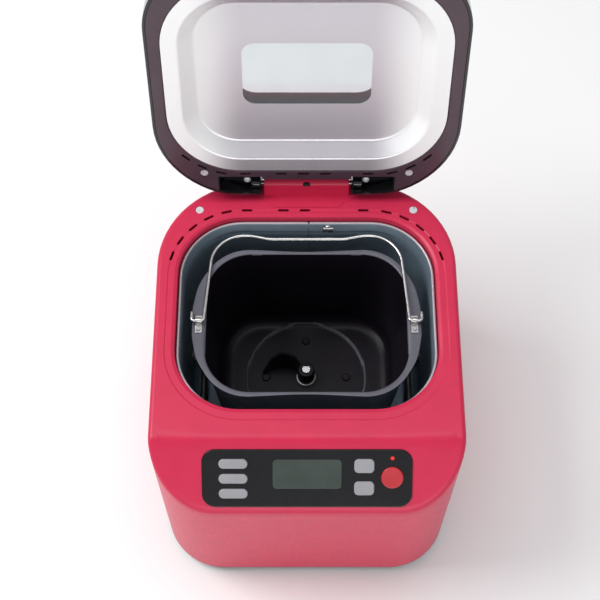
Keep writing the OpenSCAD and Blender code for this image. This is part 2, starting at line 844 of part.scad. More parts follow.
// Hub with a flat in its bore and one curved fin towards the left
module kneading_paddle() {
    hub_r = 9;
    hub_top = shaft_top - 0.6;
    fin_in = 25;
    fin_t = 2.6;
    fin_x = -24;
    fin_y = -14;
    color("black") at_drive() difference() {
        union() {
            translate([0, 0, paddle_low]) cylinder(r = hub_r, h = 8);
            translate([0, 0, paddle_low + 8])
                cylinder(r1 = hub_r, r2 = hub_r - 1, h = hub_top - paddle_low - 8);
            intersection() {
                translate([fin_x, fin_y, paddle_low]) ring(fin_in + fin_t, fin_in, 60);
                translate([0, 30, 0]) rotate([90, 0, 0]) linear_extrude(60)
                    polygon([[-5, paddle_low], [-5, paddle_low + 17], [-14, paddle_low + 29],
                        [-24, paddle_low + 31], [-34, paddle_low + 24], [-43, paddle_low + 9],
                        [-44, paddle_low]]);
                translate([-60, 0, 0]) cube([60, 40, BIG]);
            }
        }
        difference() {
            translate([0, 0, paddle_low - 5]) cylinder(r = shaft_r + 0.08, h = 60);
            translate([-10, shaft_r - 0.9, paddle_low + 2.2]) cube([20, 10, 60]);
        }
    }
}

// Bend of the bail's wire: radius r about c, from angle a0 to a1
module wire_bend(c, r, a0, a1) {
    translate([c.x, c.y, 0]) rotate([0, 0, a0])
        rotate_extrude(angle = a1 - a0) translate([r, 0]) circle(wire_r);
}

// Straight stretch from p at angle a from +Y, a hair thinner and let into the bends it meets
module wire_run(p, a, len) {
    translate([p.x, p.y, 0]) rotate([0, 0, a]) rotate([-90, 0, 0])
        translate([0, 0, -0.25]) cylinder(r = wire_r - 0.02, h = len + 0.5);
}

// Right half of the wire: hook, leg that leans in, corner, and a dip towards the cross wire
module bail_half() {
    a = bail_lean_in;
    foot = [leg_x + hook_r * cos(a), hook_r];
    dip_start = [bail_corner.x - dip_r * sin(dip_a), bail_len - dip_r * (1 - cos(dip_a))];
    wire_run([hook_x, foot.y], 0, 6);
    wire_bend([hook_x - hook_r, foot.y], hook_r, 270, 360);
    wire_run([foot.x, 0], -90, hook_x - hook_r - foot.x);
    wire_bend(foot, hook_r, 180 + a, 270);
    wire_run([leg_x, leg_start], a, leg_run);
    wire_bend(bail_corner, bail_bend, a, 90);
    wire_bend([bail_corner.x - 0.5, bail_len - dip_r], dip_r, 90, 90 + dip_a);
    wire_run([bail_corner.x + 0.1, bail_len], 90, 0.7);
    wire_run(dip_start - [0.5, 0], 90 + dip_a, dip_run);
    wire_bend([cross_x, bail_len - bail_dip + dip_r], dip_r, 270, 270 + dip_a);
}

module bail_handle() {
    color("silver") at_drive() translate([0, bail_y, bail_z]) rotate([-bail_lean, 0, 0]) {
        for (s = [0, 1]) mirror([s, 0, 0]) bail_half();
        wire_run([cross_x, bail_len - bail_dip], 90, 2 * cross_x);
    }
}

// ---- lid ----

// Crowned form of the lid
module lid_form() {
    hull() for (layer = [[0, lid_low], [0, 6], [4, 14], [16, 22], [38, crown - 0.1]])
        translate([0, 0, layer[1]]) linear_extrude(0.1) lid_plan(layer[0], $fn = HULL_FN);
}

// Room inside the lid above height low, in steps under the crown, smaller by g
module lid_room(low, g) {
    for (step = [[0, 6], [4, 12], [14, 18], [34, crown - wall - 1]])
        translate([0, 0, low]) linear_extrude(step[1] - g - low)
            lid_plan(wall + step[0] + g);
}

// Notch at the back of the lid that clears the hinge block
module lid_notch(grow) {
    translate([-bay_in - grow, -13 - grow, -20]) cube([2 * (bay_in + grow), 40, 80]);
}

// Bays each side of the notch that hold the hinge brackets
module lid_bays(grow) {
    for (s = [0, 1]) mirror([s, 0, 0])
        translate([bay_in - 1, bay_front - grow, lid_low - 1])
            cube([bay_out - bay_in + 1 + grow, 24.5 + grow + grow / 2, -lid_low + 7 + grow]);
}

// Underside rounded behind the axis, so that it clears the deck as it turns
module hinge_relief() {
    difference() {
        translate([-BIG / 2, 0, -40]) cube([BIG, 40, 40]);
        bar_x(-lid_low, BIG + 10);
    }
}

// Place of the reflector and the window on the lid: middle of the chamber opening
module over_opening() {
    translate([0, -hinge_y, 0]) children();
}

module lid_shell() {
    color("black") on_lid() difference() {
        union() {
            lid_form();
            // finger grip at the front edge
            translate([-34, lid_tip - 3, lid_low + 5]) cube([68, 8, 6]);
        }
        difference() {
            lid_room(lid_low - 1, 0);
            // walls round the notch, and the tunnel down to the window
            lid_notch(wall);
            over_opening()
                slab(window_w + 2 * wall, window_d + 2 * wall, 22, glass_low + glass_t, 60);
        }
        lid_notch(0);
        // hinge bays, closed behind by the shell's rear wall
        intersection() {
            lid_bays(0);
            translate([0, 0, lid_low - 2]) linear_extrude(40) lid_plan(wall + 0.5);
        }
        over_opening() slab(window_w, window_d, 20, 0, 80);
        hinge_relief();
    }
}

// Slots on the lid that mirror those of the deck
module lid_slots() {
    gr = open_r + reflector_out + 6;
    for (s = [-1, 1], a = [16 : 15 : 46])
        over_opening()
            vent_slot(s * (open_w / 2 - open_r + gr * sin(a)), open_d / 2 - open_r + gr * cos(a),
                -s * a, -30, 60);
    for (x = [-58, -24, -3, 18, 58])
        over_opening() vent_slot(x, open_d / 2 + reflector_out + 4.5, 0, -30, 60);
}

module lid_frame() {
    color("#4a333f") on_lid() difference() {
        union() {
            translate([0, 0, lid_low]) linear_extrude(3) lid_plan(wall + 0.1);
            // walls and roof of the hinge bays
            intersection() {
                lid_bays(1.5);
                lid_room(lid_low, 0.1);
            }
            over_opening() for (p = lid_screw_places)
                translate([p.x, p.y, lid_low]) cylinder(r = 5, h = 12);
        }
        lid_notch(wall + 0.1);
        for (y = [0, 1]) translate([0, y, 0]) lid_bays(0);
        over_opening() {
            slab(open_w + 2 * reflector_out + 0.6, open_d + 2 * reflector_out + 0.6,
                open_r + reflector_out + 0.3, -40, 80);
            for (p = lid_screw_places) translate([p.x, p.y, lid_low - 1]) {
                cylinder(r = 1.5, h = 30);
                cylinder(r = 4.2, h = 3);
            }
        }
        // holes for the hinge screws in the roofs of the bays
        for (s = [-1, 1]) translate([s * hinge_screw_x, hinge_screw_y, 0]) cylinder(r = 2.05, h = 30);
        lid_slots();
        hinge_relief();
    }
}

// Dished sheet: flat edge, sloping wall, flat middle with the window hole
module reflector_form(t, z) {
    w = open_w + 2 * reflector_out - 30;
    d = open_d + 2 * reflector_out - 30;
    r = open_r + reflector_out - 15;
    hull() {
        slab(w + 2 * t, d + 2 * t, r + t, z - 2, 2, $fn = HULL_FN);
        slab(w - 24 + 2 * t, d - 24 + 2 * t, r - 12 + t, z + dish - 0.1, 0.1, $fn = HULL_FN);
    }
}

module lid_reflector() {
    sheet = 0.8;
    color("silver") on_lid() over_opening() difference() {
        union() {
            slab(open_w + 2 * reflector_out, open_d + 2 * reflector_out, open_r + reflector_out,
                lid_low, sheet);
            intersection() {
                reflector_form(sheet, lid_low + sheet);
                translate([-BIG / 2, -BIG / 2, lid_low]) cube([BIG, BIG, BIG]);
            }
        }
        reflector_form(0, lid_low);
        slab(window_w - 16, window_d - 16, 12, -30, 60);
    }
}

module window_gasket() {
    color("dimgray") on_lid() over_opening() difference() {
        slab(window_w + 6, window_d + 6, 23, glass_low, glass_t);
        slab(window_w - 2, window_d - 2, 19, glass_low - 5, 20);
    }
}

module window_glass() {
    color("lightblue", 0.4) on_lid() over_opening()
        slab(window_w - 2 - 2 * FIT, window_d - 2 - 2 * FIT, 19 - FIT, glass_low, glass_t - 0.2);
}

module lid_screws() {
    color("silver") on_lid() over_opening() for (p = lid_screw_places)
        translate([p.x, p.y, lid_low + 2]) rotate([180, 0, 0]) screw(1.45, 9, 3.6, 1.6);
}

// Bent plate in each bay with a knuckle round the hinge pin
module lid_hinge_brackets() {
    plate_z = 3.4;
    color("dimgray") on_lid() for (s = [0, 1]) mirror([s, 0, 0]) difference() {
        union() {
            translate([bay_in + 0.8, 0, 0]) rotate([0, 90, 0]) cylinder(r = 4.8, h = 9);
            translate([bay_in + 0.8, -17, plate_z]) cube([36, 17, 1.4]);
            translate([bay_in + 0.8, -17, -4]) cube([1.4, 17, 8.8]);
        }
        translate([bay_in, 0, 0]) bar_x(pin_r + RUN, 60);
        translate([hinge_screw_x, hinge_screw_y, -20]) cylinder(r = 2.1, h = 60);
    }
}

module lid_hinge_screws() {
    color("silver") on_lid() for (s = [-1, 1])
        translate([s * hinge_screw_x, hinge_screw_y, 3.4]) rotate([180, 0, 0]) screw(2, 8, 4, 2.2);
}

// ---- buttons ----

module key_cap(k) {
    on_panel() translate([k[0], k[1], 0]) {
        slab(k[2], k[3], k[4], -3.5, 3.9 + fascia_top + travel);
        slab(k[2] + 3, k[3] + 3, k[4] + 1.5, -4, 2.4);
        translate([0, 0, -6]) cylinder(r = 2, h = 3);
    }
}

module menu_button() {
    color("gray") key_cap(menu_key);
}

module crust_button() {
    color("gray") key_cap(crust_key);
}

module loaf_button() {
    color("gray") key_cap(loaf_key);
}

module time_up_button() {
    color("gray") key_cap(up_key);
}

module time_down_button() {
    color("gray") key_cap(down_key);
}

module start_button() {
    color("firebrick") key_cap(start_key);
}

outer_housing();
back_panel();
top_deck();
base_plate();
rubber_feet();
base_screws();
deck_screws();
chassis_plate();
bearing_housing();
shaft_bushes();
baking_chamber();
temperature_sensor();
heating_element();
heater_clips();
pan_socket();
socket_springs();
drive_belt();
motor_case();
motor_screws();
run_capacitor();
power_board();
board_transformer();
control_board();
lcd_module();
tact_switches();
control_fascia();
display_window();
status_light();
cord_gland();
hinge_pin();
drive_shaft();
drive_dog();
large_pulley();
motor_shaft();
motor_pulley();
bread_pan();
pan_base_ring();
pan_rivets();
pan_bush();
shaft_seal();
bail_brackets();
pan_shaft();
pan_wing();
shaft_circlip();
kneading_paddle();
bail_handle();
lid_shell();
lid_frame();
lid_reflector();
window_glass();
window_gasket();
lid_screws();
lid_hinge_brackets();
lid_hinge_screws();
menu_button();
crust_button();
loaf_button();
time_up_button();
time_down_button();
start_button();
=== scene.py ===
"""Looks of the bread machine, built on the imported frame. Sections are drawn in millimetres
from the drive axis, the sloping panel or the lid's hinge, and placed in the frame in metres."""

import json
import math

import bmesh
import bpy
from mathutils import Matrix, Vector


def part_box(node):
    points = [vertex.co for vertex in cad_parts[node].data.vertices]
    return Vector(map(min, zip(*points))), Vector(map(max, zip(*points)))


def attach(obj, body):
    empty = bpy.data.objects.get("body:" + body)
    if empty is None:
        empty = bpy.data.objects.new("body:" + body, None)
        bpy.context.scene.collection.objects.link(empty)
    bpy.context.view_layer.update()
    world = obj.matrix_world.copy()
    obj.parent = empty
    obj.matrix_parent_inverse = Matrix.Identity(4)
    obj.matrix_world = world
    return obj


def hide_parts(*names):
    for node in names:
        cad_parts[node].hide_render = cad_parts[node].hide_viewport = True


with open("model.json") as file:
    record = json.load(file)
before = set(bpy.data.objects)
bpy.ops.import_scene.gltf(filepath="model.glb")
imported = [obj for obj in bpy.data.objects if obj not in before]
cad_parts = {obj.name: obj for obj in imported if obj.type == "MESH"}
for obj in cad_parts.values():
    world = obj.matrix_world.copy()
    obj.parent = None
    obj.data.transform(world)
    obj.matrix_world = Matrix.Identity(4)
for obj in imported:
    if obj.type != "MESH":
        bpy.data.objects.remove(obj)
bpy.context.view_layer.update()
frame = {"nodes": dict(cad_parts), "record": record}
nodes = frame["nodes"]
scene = bpy.context.scene

# ---- places, from the CAD nodes, in millimetres ----


def cad(node):
    """Lowest and highest corner of a CAD node in millimetres."""
    return [tuple(1000 * c for c in corner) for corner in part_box(node)]


def at(x, y, z=0):
    return Matrix.Translation((x, y, z))


axis_y = sum(c[1] for c in cad("drive_shaft")) / 2
half_w = cad("outer_housing")[1][0]
front = axis_y - cad("outer_housing")[0][1]
rear = cad("outer_housing")[1][1] - axis_y
hinge = [sum(c[k] for c in cad("hinge_pin")) / 2 for k in range(3)]
pin_y = hinge[1] - axis_y
pin_height = 12.5
deck = hinge[2] - pin_height
rim = cad("bread_pan")[1][2]

# radii of the body's corners, then half sizes and radius of the deck's opening
front_r, rear_r = 58, 90
open_w, open_d, open_r = 121.5, 99, 60.5

# where the panel starts to slope and how far it drops, then the fascia on it
slope_y, slope_drop = -127, 44
slope = slope_drop / (front + slope_y)
fascia_w, fascia_d, fascia_r, fascia_v = 94, 27, 12, 33

# the lid is drawn closed from its hinge and turned open
LID_ANGLE = 105
lid_low, lid_top, lid_front = -12.2, 28.9, 123

MM = Matrix.Scale(0.001, 4)
ALONG_X = Matrix.Rotation(math.pi / 2, 4, "Y")
ALONG_Y = Matrix.Rotation(math.pi / 2, 4, "X")
AT_DRIVE = MM @ at(0, axis_y)
ON_PANEL = AT_DRIVE @ at(0, -front, deck - slope_drop) @ Matrix.Rotation(math.atan(slope), 4, "X")
ON_LID = MM @ at(*hinge) @ Matrix.Rotation(math.radians(-LID_ANGLE), 4, "X")
OVER_OPENING = ON_LID @ at(0, -pin_y)

# ---- materials ----

FINISH = {}


def material(name, colour, rough, metallic=0.0, tint=0.06, tint_size=22, swing=0.04, swing_size=3,
             grain=0.0, grain_size=0.5, stretch=(1, 1, 1), coat=0.0, coat_rough=0.08, ior=1.5,
             fleck=None, glow=None, clear=0.0):
    """Procedural finish: cloudy tint, uneven gloss and a fine surface grain. Sizes in millimetres."""
    m = bpy.data.materials.new(name)
    m.use_nodes = True
    tree = m.node_tree
    shader = tree.nodes["Principled BSDF"]
    shader.inputs["Metallic"].default_value = metallic
    shader.inputs["IOR"].default_value = ior
    shader.inputs["Coat Weight"].default_value = coat
    shader.inputs["Coat Roughness"].default_value = coat_rough
    shader.inputs["Transmission Weight"].default_value = clear
    coords = tree.nodes.new("ShaderNodeTexCoord")
    mapping = tree.nodes.new("ShaderNodeMapping")
    mapping.inputs["Scale"].default_value = stretch
    tree.links.new(coords.outputs["Object"], mapping.inputs["Vector"])

    def noise(size, detail):
        n = tree.nodes.new("ShaderNodeTexNoise")
        n.inputs["Scale"].default_value = 1000 / size
        n.inputs["Detail"].default_value = detail
        tree.links.new(mapping.outputs["Vector"], n.inputs["Vector"])
        return n.outputs["Fac"]

    ramp = tree.nodes.new("ShaderNodeValToRGB")
    ramp.color_ramp.elements[0].position, ramp.color_ramp.elements[1].position = 0.3, 0.7
    for element, k in zip(ramp.color_ramp.elements, (1 - tint, 1 + tint)):
        element.color = (*[min(1, c * k) for c in colour], 1)
    tree.links.new(noise(tint_size, 3), ramp.inputs["Fac"])
    base = ramp.outputs["Color"]
    if fleck:
        speck = tree.nodes.new("ShaderNodeTexVoronoi")
        speck.inputs["Scale"].default_value = 1000 / fleck[1]
        tree.links.new(mapping.outputs["Vector"], speck.inputs["Vector"])
        cut = tree.nodes.new("ShaderNodeMapRange")
        for key, value in (("From Min", 0.10), ("From Max", 0.22), ("To Min", 1), ("To Max", 0)):
            cut.inputs[key].default_value = value
        tree.links.new(speck.outputs["Distance"], cut.inputs["Value"])
        mix = tree.nodes.new("ShaderNodeMix")
        mix.data_type = "RGBA"
        mix.inputs["B"].default_value = (*fleck[0], 1)
        tree.links.new(cut.outputs["Result"], mix.inputs["Factor"])
        tree.links.new(base, mix.inputs["A"])
        base = mix.outputs["Result"]
    tree.links.new(base, shader.inputs["Base Color"])
    gloss = tree.nodes.new("ShaderNodeMapRange")
    gloss.inputs["From Min"].default_value, gloss.inputs["From Max"].default_value = 0.3, 0.7
    gloss.inputs["To Min"].default_value = max(0.02, rough - swing)
    gloss.inputs["To Max"].default_value = rough + swing
    tree.links.new(noise(swing_size, 4), gloss.inputs["Value"])
    tree.links.new(gloss.outputs["Result"], shader.inputs["Roughness"])
    if grain:
        bump = tree.nodes.new("ShaderNodeBump")
        bump.inputs["Strength"].default_value = grain
        bump.inputs["Distance"].default_value = 0.0002
        tree.links.new(noise(grain_size, 2), bump.inputs["Height"])
        tree.links.new(bump.outputs["Normal"], shader.inputs["Normal"])
    if glow:
        shader.inputs["Emission Color"].default_value = (*colour, 1)
        shader.inputs["Emission Strength"].default_value = glow
    FINISH[name] = m
    return m


def painted_reflection_across(m, inner, outer, far_grey, near_metal, far_metal):
    """Paints reflection into a finish: blends its own grey and metal share to others, between two distances
    from X = 0 in metres, so that a wide sheet has the studio's reflection painted on its ends."""
    tree = m.node_tree
    coords = tree.nodes.new("ShaderNodeTexCoord")
    split = tree.nodes.new("ShaderNodeSeparateXYZ")
    tree.links.new(coords.outputs["Object"], split.inputs["Vector"])
    size = tree.nodes.new("ShaderNodeMath")
    size.operation = "ABSOLUTE"
    tree.links.new(split.outputs["X"], size.inputs[0])
    spread = tree.nodes.new("ShaderNodeMapRange")
    spread.interpolation_type = "SMOOTHSTEP"
    spread.inputs["From Min"].default_value, spread.inputs["From Max"].default_value = inner, outer
    tree.links.new(size.outputs["Value"], spread.inputs["Value"])
    mix = tree.nodes.new("ShaderNodeMix")
    mix.data_type = "RGBA"
    mix.inputs["B"].default_value = (far_grey, far_grey, far_grey, 1)
    tree.links.new(spread.outputs["Result"], mix.inputs["Factor"])
    base = tree.nodes["Principled BSDF"].inputs["Base Color"]
    tree.links.new(base.links[0].from_socket, mix.inputs["A"])
    tree.links.new(mix.outputs["Result"], base)
    fade = tree.nodes.new("ShaderNodeMapRange")
    fade.inputs["To Min"].default_value, fade.inputs["To Max"].default_value = near_metal, far_metal
    tree.links.new(spread.outputs["Result"], fade.inputs["Value"])
    tree.links.new(fade.outputs["Result"], tree.nodes["Principled BSDF"].inputs["Metallic"])


BRUSHED = (1, 30, 30)
material("red_plastic", (0.58, 0.020, 0.070), 0.36, tint=0.035, grain=0.18, ior=1.38)
material("black_plastic", (0.016, 0.016, 0.018), 0.42, tint=0.15, grain=0.3)
material("lid_black", (0.010, 0.010, 0.012), 0.18, tint=0.15, grain=0.05, coat=0.5)
material("plum_plastic", (0.062, 0.032, 0.047), 0.32, tint=0.1, grain=0.05, coat=0.2, coat_rough=0.15)
material("panel_black", (0.006, 0.006, 0.008), 0.2, tint=0.2, swing=0.03, ior=1.42, coat=0.15)
material("button_grey", (0.30, 0.30, 0.32), 0.38, grain=0.15)
material("start_red", (0.50, 0.018, 0.030), 0.32, grain=0.1, coat=0.2)
material("light_red", (0.70, 0.03, 0.02), 0.2, glow=0.4)
material("white_plastic", (0.72, 0.71, 0.66), 0.4, grain=0.15)
material("rubber", (0.020, 0.020, 0.021), 0.75, tint=0.2, grain=0.5)
material("silicone", (0.09, 0.09, 0.095), 0.55, grain=0.2)
material("chamber_steel", (0.25, 0.33, 0.40), 0.40, metallic=0.35, tint=0.09, tint_size=35, swing=0.06,
         grain=0.15, grain_size=0.8)
material("rim_steel", (0.46, 0.40, 0.43), 0.38, metallic=0.8, tint=0.06, grain=0.1, stretch=BRUSHED)
material("bright_steel", (0.66, 0.65, 0.64), 0.24, metallic=1.0, tint=0.05, grain=0.08, grain_size=0.6)
# a lighter, less metallic copy of bright steel: painted light, so that the screw heads read bright though
# they sit in shade
material("screw_steel_painted_light", (0.86, 0.86, 0.88), 0.30, metallic=0.55, tint=0.05, tint_size=3, grain=0.05)
material("reflector_steel", (0.62, 0.60, 0.64), 0.36, metallic=0.7, tint=0.02, tint_size=80, swing=0.02,
         grain=0.03, grain_size=0.9)
material("zinc_steel", (0.48, 0.50, 0.52), 0.38, metallic=0.9, tint=0.14, tint_size=9, grain=0.15)
material("heater_steel", (0.20, 0.19, 0.19), 0.45, metallic=0.8, tint=0.2, tint_size=12, grain=0.25)
material("nonstick", (0.0080, 0.0062, 0.0098), 0.34, tint=0.12, tint_size=30, swing=0.03, grain=0.15,
         grain_size=0.45, ior=1.24, fleck=((0.014, 0.012, 0.018), 1.3))
material("pan_grey", (0.105, 0.104, 0.130), 0.40, metallic=0.2, tint=0.08, grain=0.25, grain_size=0.5)
material("cast_alloy", (0.36, 0.36, 0.37), 0.45, metallic=0.9, tint=0.12, grain=0.4, grain_size=0.9)
material("bronze", (0.42, 0.26, 0.10), 0.40, metallic=0.9, tint=0.15, grain=0.3)
material("board_green", (0.02, 0.12, 0.05), 0.4, tint=0.2, tint_size=6, grain=0.1)
material("copper_wound", (0.50, 0.22, 0.07), 0.35, metallic=0.8, tint=0.2, tint_size=2, grain=0.6,
         grain_size=0.7, stretch=(1, 1, 12))
material("display", (0.045, 0.060, 0.052), 0.10, tint=0.1, swing=0.02, coat=0.3, coat_rough=0.04)
material("lcd", (0.22, 0.27, 0.20), 0.3, tint=0.06, grain=0.1)
material("glass", (0.78, 0.82, 0.84), 0.05, tint=0.02, swing=0.02, clear=0.92)

# painted reflection: the reflector's ends, from 55 to 105 mm out from the middle, are painted near white and
# less metallic
painted_reflection_across(FINISH["reflector_steel"], 0.055, 0.105, 0.97, 0.7, 0.1)

# ---- mesh tools ----

SHARP = 32  # degrees between faces from which an edge stays sharp


def plan(hw, ahead, behind, rf, rr, inset=0.0, n=16, run=10):
    """Closed outline, counter-clockwise from the front right corner, points matched between outlines."""
    spots = [(hw - rf, rf - ahead, rf, -90), (hw - rr, behind - rr, rr, 0),
             (rr - hw, behind - rr, rr, 90), (rf - hw, rf - ahead, rf, 180)]
    ends = [[(cx + (r - inset) * math.cos(math.radians(a + 90 * k / n)),
              cy + (r - inset) * math.sin(math.radians(a + 90 * k / n))) for k in range(n + 1)]
            for cx, cy, r, a in spots]
    points = []
    for corner, following in zip(ends, ends[1:] + ends[:1]):
        (x0, y0), (x1, y1) = corner[-1], following[0]
        points += corner
        shares = [k / (run + 1) for k in range(1, run + 1)]
        points += [(x0 + (x1 - x0) * t, y0 + (y1 - y0) * t) for t in shares]
    return points


def rect(w, d, r, inset=0.0, **kw):
    """Rounded rectangle of half sizes w and d about the origin."""
    return plan(w, d, d, r, r, inset, **kw)


def body(inset=0.0):
    """Plan of the housing and the deck."""
    return plan(half_w, front, rear, front_r, rear_r, inset)


def opening(out):
    """Edge of the deck's opening, which sits a little further back than the drive axis."""
    back = 2 * min(1, max(0, 1 - out / 9))
    return [(x, y + back) for x, y in rect(open_w, open_d, open_r, -out)]


def arc(cx, cy, r, a0, a1, n=12):
    angles = [math.radians(a0 + (a1 - a0) * k / n) for k in range(n + 1)]
    return [(cx + r * math.cos(a), cy + r * math.sin(a)) for a in angles]


def between(a, b, t):
    """Outline a share t of the way from a to b."""
    return [(p[0] + (q[0] - p[0]) * t, p[1] + (q[1] - p[1]) * t) for p, q in zip(a, b)]


def up(outline, z):
    """Outline lifted to a height, or to z(x, y)."""
    return [(x, y, z(x, y) if callable(z) else z) for x, y in outline]


def profile(points, steps=5):
    """Section line through (a, b, radius) points, with each corner rounded."""
    line = []
    for i, (a, b, r) in enumerate(points):
        if not r or i in (0, len(points) - 1):
            line.append((a, b))
            continue
        p = Vector((a, b))
        u = (Vector(points[i - 1][:2]) - p).normalized()
        v = (Vector(points[i + 1][:2]) - p).normalized()
        half = u.angle(v) / 2
        centre = p + (u + v).normalized() * (r / math.sin(half))
        start = p + u * (r / math.tan(half)) - centre
        end = p + v * (r / math.tan(half)) - centre
        t0 = math.atan2(start.y, start.x)
        turn = (math.atan2(end.y, end.x) - t0 + math.pi) % (2 * math.pi) - math.pi
        angles = [t0 + turn * k / steps for k in range(steps + 1)]
        line += [(centre.x + r * math.cos(t), centre.y + r * math.sin(t)) for t in angles]
    return line


def loft(rings, closed=False, first=False, last=False):
    """Faces between matched rings; closed joins the last ring to the first, first and last cap them."""
    n = len(rings[0])
    verts = [p for ring in rings for p in ring]
    faces = []
    for k in range(len(rings) - (0 if closed else 1)):
        a, b = k * n, (k + 1) % len(rings) * n
        faces += [(a + i, a + (i + 1) % n, b + (i + 1) % n, b + i) for i in range(n)]
    if first:
        faces.append(tuple(range(n - 1, -1, -1)))
    if last:
        faces.append(tuple(range(len(rings) * n - n, len(rings) * n)))
    return verts, faces


def joined(*shapes):
    """One shape of several."""
    verts, faces = [], []
    for v, f in shapes:
        faces += [tuple(i + len(verts) for i in face) for face in f]
        verts += v
    return verts, faces


def moved(shape, matrix):
    return [tuple(matrix @ Vector(v)) for v in shape[0]], shape[1]


def block(x0, x1, y0, y1, z0, z1, r=0.4):
    """Box with rounded upright edges and softened ends."""
    w, d = (x1 - x0) / 2, (y1 - y0) / 2
    r = min(r, w * 0.98, d * 0.98)
    e = r * 0.4
    rings = [up(rect(w, d, r, i, n=4, run=0), z) for i, z in ((e, z0), (0, z0 + e), (0, z1 - e), (e, z1))]
    return moved(loft(rings, first=True, last=True), at((x0 + x1) / 2, (y0 + y1) / 2))


def prism(outline, z0, z1):
    return loft([up(outline, z0), up(outline, z1)], first=True, last=True)


def turned(line, n=64, first=True, last=True):
    """Solid of revolution about Z from (radius, z) points."""
    angles = [2 * math.pi * k / n for k in range(n)]
    rings = [[(r * math.cos(a), r * math.sin(a), z) for a in angles] for r, z in line]
    return loft(rings, first=first, last=last)


def bore(r, z0, z1, place, n=40):
    """Cutter for a round hole along the Z axis of a place."""
    return moved(turned([(r, z0), (r, z1)], n), place)


def sweep(path, radius, n=16):
    """Round wire along a path in the XY plane, with domed ends."""
    path = [Vector(p) for p in path]
    heads = [(path[1] - path[0]).normalized(), (path[-1] - path[-2]).normalized()]
    dirs = [heads[0]] + [(b - a).normalized() for a, b in zip(path, path[2:])] + [heads[1]]
    spine = [(path[0] - heads[0] * radius * k, heads[0], f) for k, f in ((0.9, 0.4), (0.6, 0.8))]
    spine += [(p, d, 1) for p, d in zip(path, dirs)]
    spine += [(path[-1] + heads[1] * radius * k, heads[1], f) for k, f in ((0.6, 0.8), (0.9, 0.4))]
    rings = []
    for p, d, f in spine:
        side = Vector((-d.y, d.x))
        rings.append([(p.x + side.x * radius * f * math.cos(2 * math.pi * k / n),
                       p.y + side.y * radius * f * math.cos(2 * math.pi * k / n),
                       radius * f * math.sin(2 * math.pi * k / n)) for k in range(n)])
    return loft(rings, first=True, last=True)


def make(name, shape, place, angle=SHARP):
    """Mesh object in the frame, smooth but for edges sharper than the angle."""
    bm = bmesh.new()
    verts = [bm.verts.new(place @ Vector(v)) for v in shape[0]]
    for face in shape[1]:
        bm.faces.new([verts[i] for i in face])
    bmesh.ops.recalc_face_normals(bm, faces=bm.faces)
    mesh = bpy.data.meshes.new(name)
    bm.to_mesh(mesh)
    bm.free()
    obj = bpy.data.objects.new(name, mesh)
    scene.collection.objects.link(obj)
    soften(obj, angle)
    return obj


def soften(obj, angle=SHARP):
    obj.data.shade_smooth()
    obj.data.set_sharp_from_angle(angle=math.radians(angle))


def cut(obj, shape, place):
    """Takes a shape out of obj for good."""
    tool = make("tool", shape, place)
    m = obj.modifiers.new("cut", "BOOLEAN")
    m.operation, m.solver, m.object = "DIFFERENCE", "EXACT", tool
    bpy.context.view_layer.update()
    mesh = bpy.data.meshes.new_from_object(obj.evaluated_get(bpy.context.evaluated_depsgraph_get()))
    obj.modifiers.clear()
    obj.data = mesh
    bpy.data.objects.remove(tool)
    soften(obj)


def finish(obj, body_name, slot, *cad_nodes, look=None):
    """Hangs the piece on its body, gives it its finish and stands it for its CAD nodes."""
    obj.data.materials.clear()
    obj.data.materials.append(FINISH[look or slot])
    weigh = obj.modifiers.new("even", "WEIGHTED_NORMAL")
    weigh.keep_sharp = True
    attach(obj, body_name)
    if cad_nodes:
        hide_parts(*cad_nodes)


def curve_between(x, knots):
    """Smooth height through (x, height) knots."""
    for (x0, h0), (x1, h1) in zip(knots, knots[1:]):
        if x0 <= x <= x1:
            t = (x - x0) / (x1 - x0)
            return h0 + (h1 - h0) * t * t * (3 - 2 * t)
    return knots[0][1] if x < knots[0][0] else knots[-1][1]


# ---- camera and light ----

camera = bpy.data.objects.new("camera", bpy.data.cameras.new("camera"))
scene.collection.objects.link(camera)
camera.location = (-0.0063, axis_y / 1000 - 0.5362, deck / 1000 + 1.0881)
camera.rotation_euler = (math.radians(26.7), 0, 0)
camera.data.lens = 78.2
camera.data.sensor_width = 36
scene.camera = camera
scene.view_settings.view_transform = "Standard"


def area(name, place, target, size, power):
    light = bpy.data.lights.new(name, "AREA")
    light.shape = "RECTANGLE"
    light.size, light.size_y = size
    light.energy = power
    obj = bpy.data.objects.new(name, light)
    scene.collection.objects.link(obj)
    obj.location = place
    obj.rotation_euler = (Vector(target) - Vector(place)).to_track_quat("-Z", "Y").to_euler()


area("key", (-1.5, 0.25, 2.0), (0, 0, 0.2), (1.2, 1.2), 36)
area("front", (0.2, -2.3, 0.65), (0, 0.1, 0.3), (1.6, 0.6), 14)
area("top", (0, 0.2, 2.4), (0, 0, 0.2), (1.6, 0.9), 12)

world = bpy.data.worlds.new("studio")
world.use_nodes = True
world.node_tree.nodes["Background"].inputs["Color"].default_value = (0.97, 0.98, 1, 1)
world.node_tree.nodes["Background"].inputs["Strength"].default_value = 0.46
scene.world = world

floor_edge = ((0, -20), (0, -0.1), (40, 0))
floor_rings = [up(rect(4000, 4000, 600, i), z) for i, z in floor_edge]
floor = make("floor", loft(floor_rings, first=True, last=True), MM)
material("floor_pale", (0.95, 0.95, 0.95), 0.7, tint=0.01, tint_size=200, grain=0.05)
floor.data.materials.append(FINISH["floor_pale"])

# ---- housing ----

FOLD = 4  # half the width of the soft fold between the deck and the panel
SEAM = 8  # how far the deck's skirt comes down
SKIN = 3  # how thick the deck is
SCREW_WELL = 4.2  # radius of the recess round a screw's head


def top(x, y):
    """Height of the deck and of the sloping panel, with a soft fold between them."""
    d = slope_y - y
    return deck - slope * (0 if d < -FOLD else d if d > FOLD else (d + FOLD) ** 2 / (4 * FOLD))


def under_top(drop):
    return lambda x, y: top(x, y) - drop


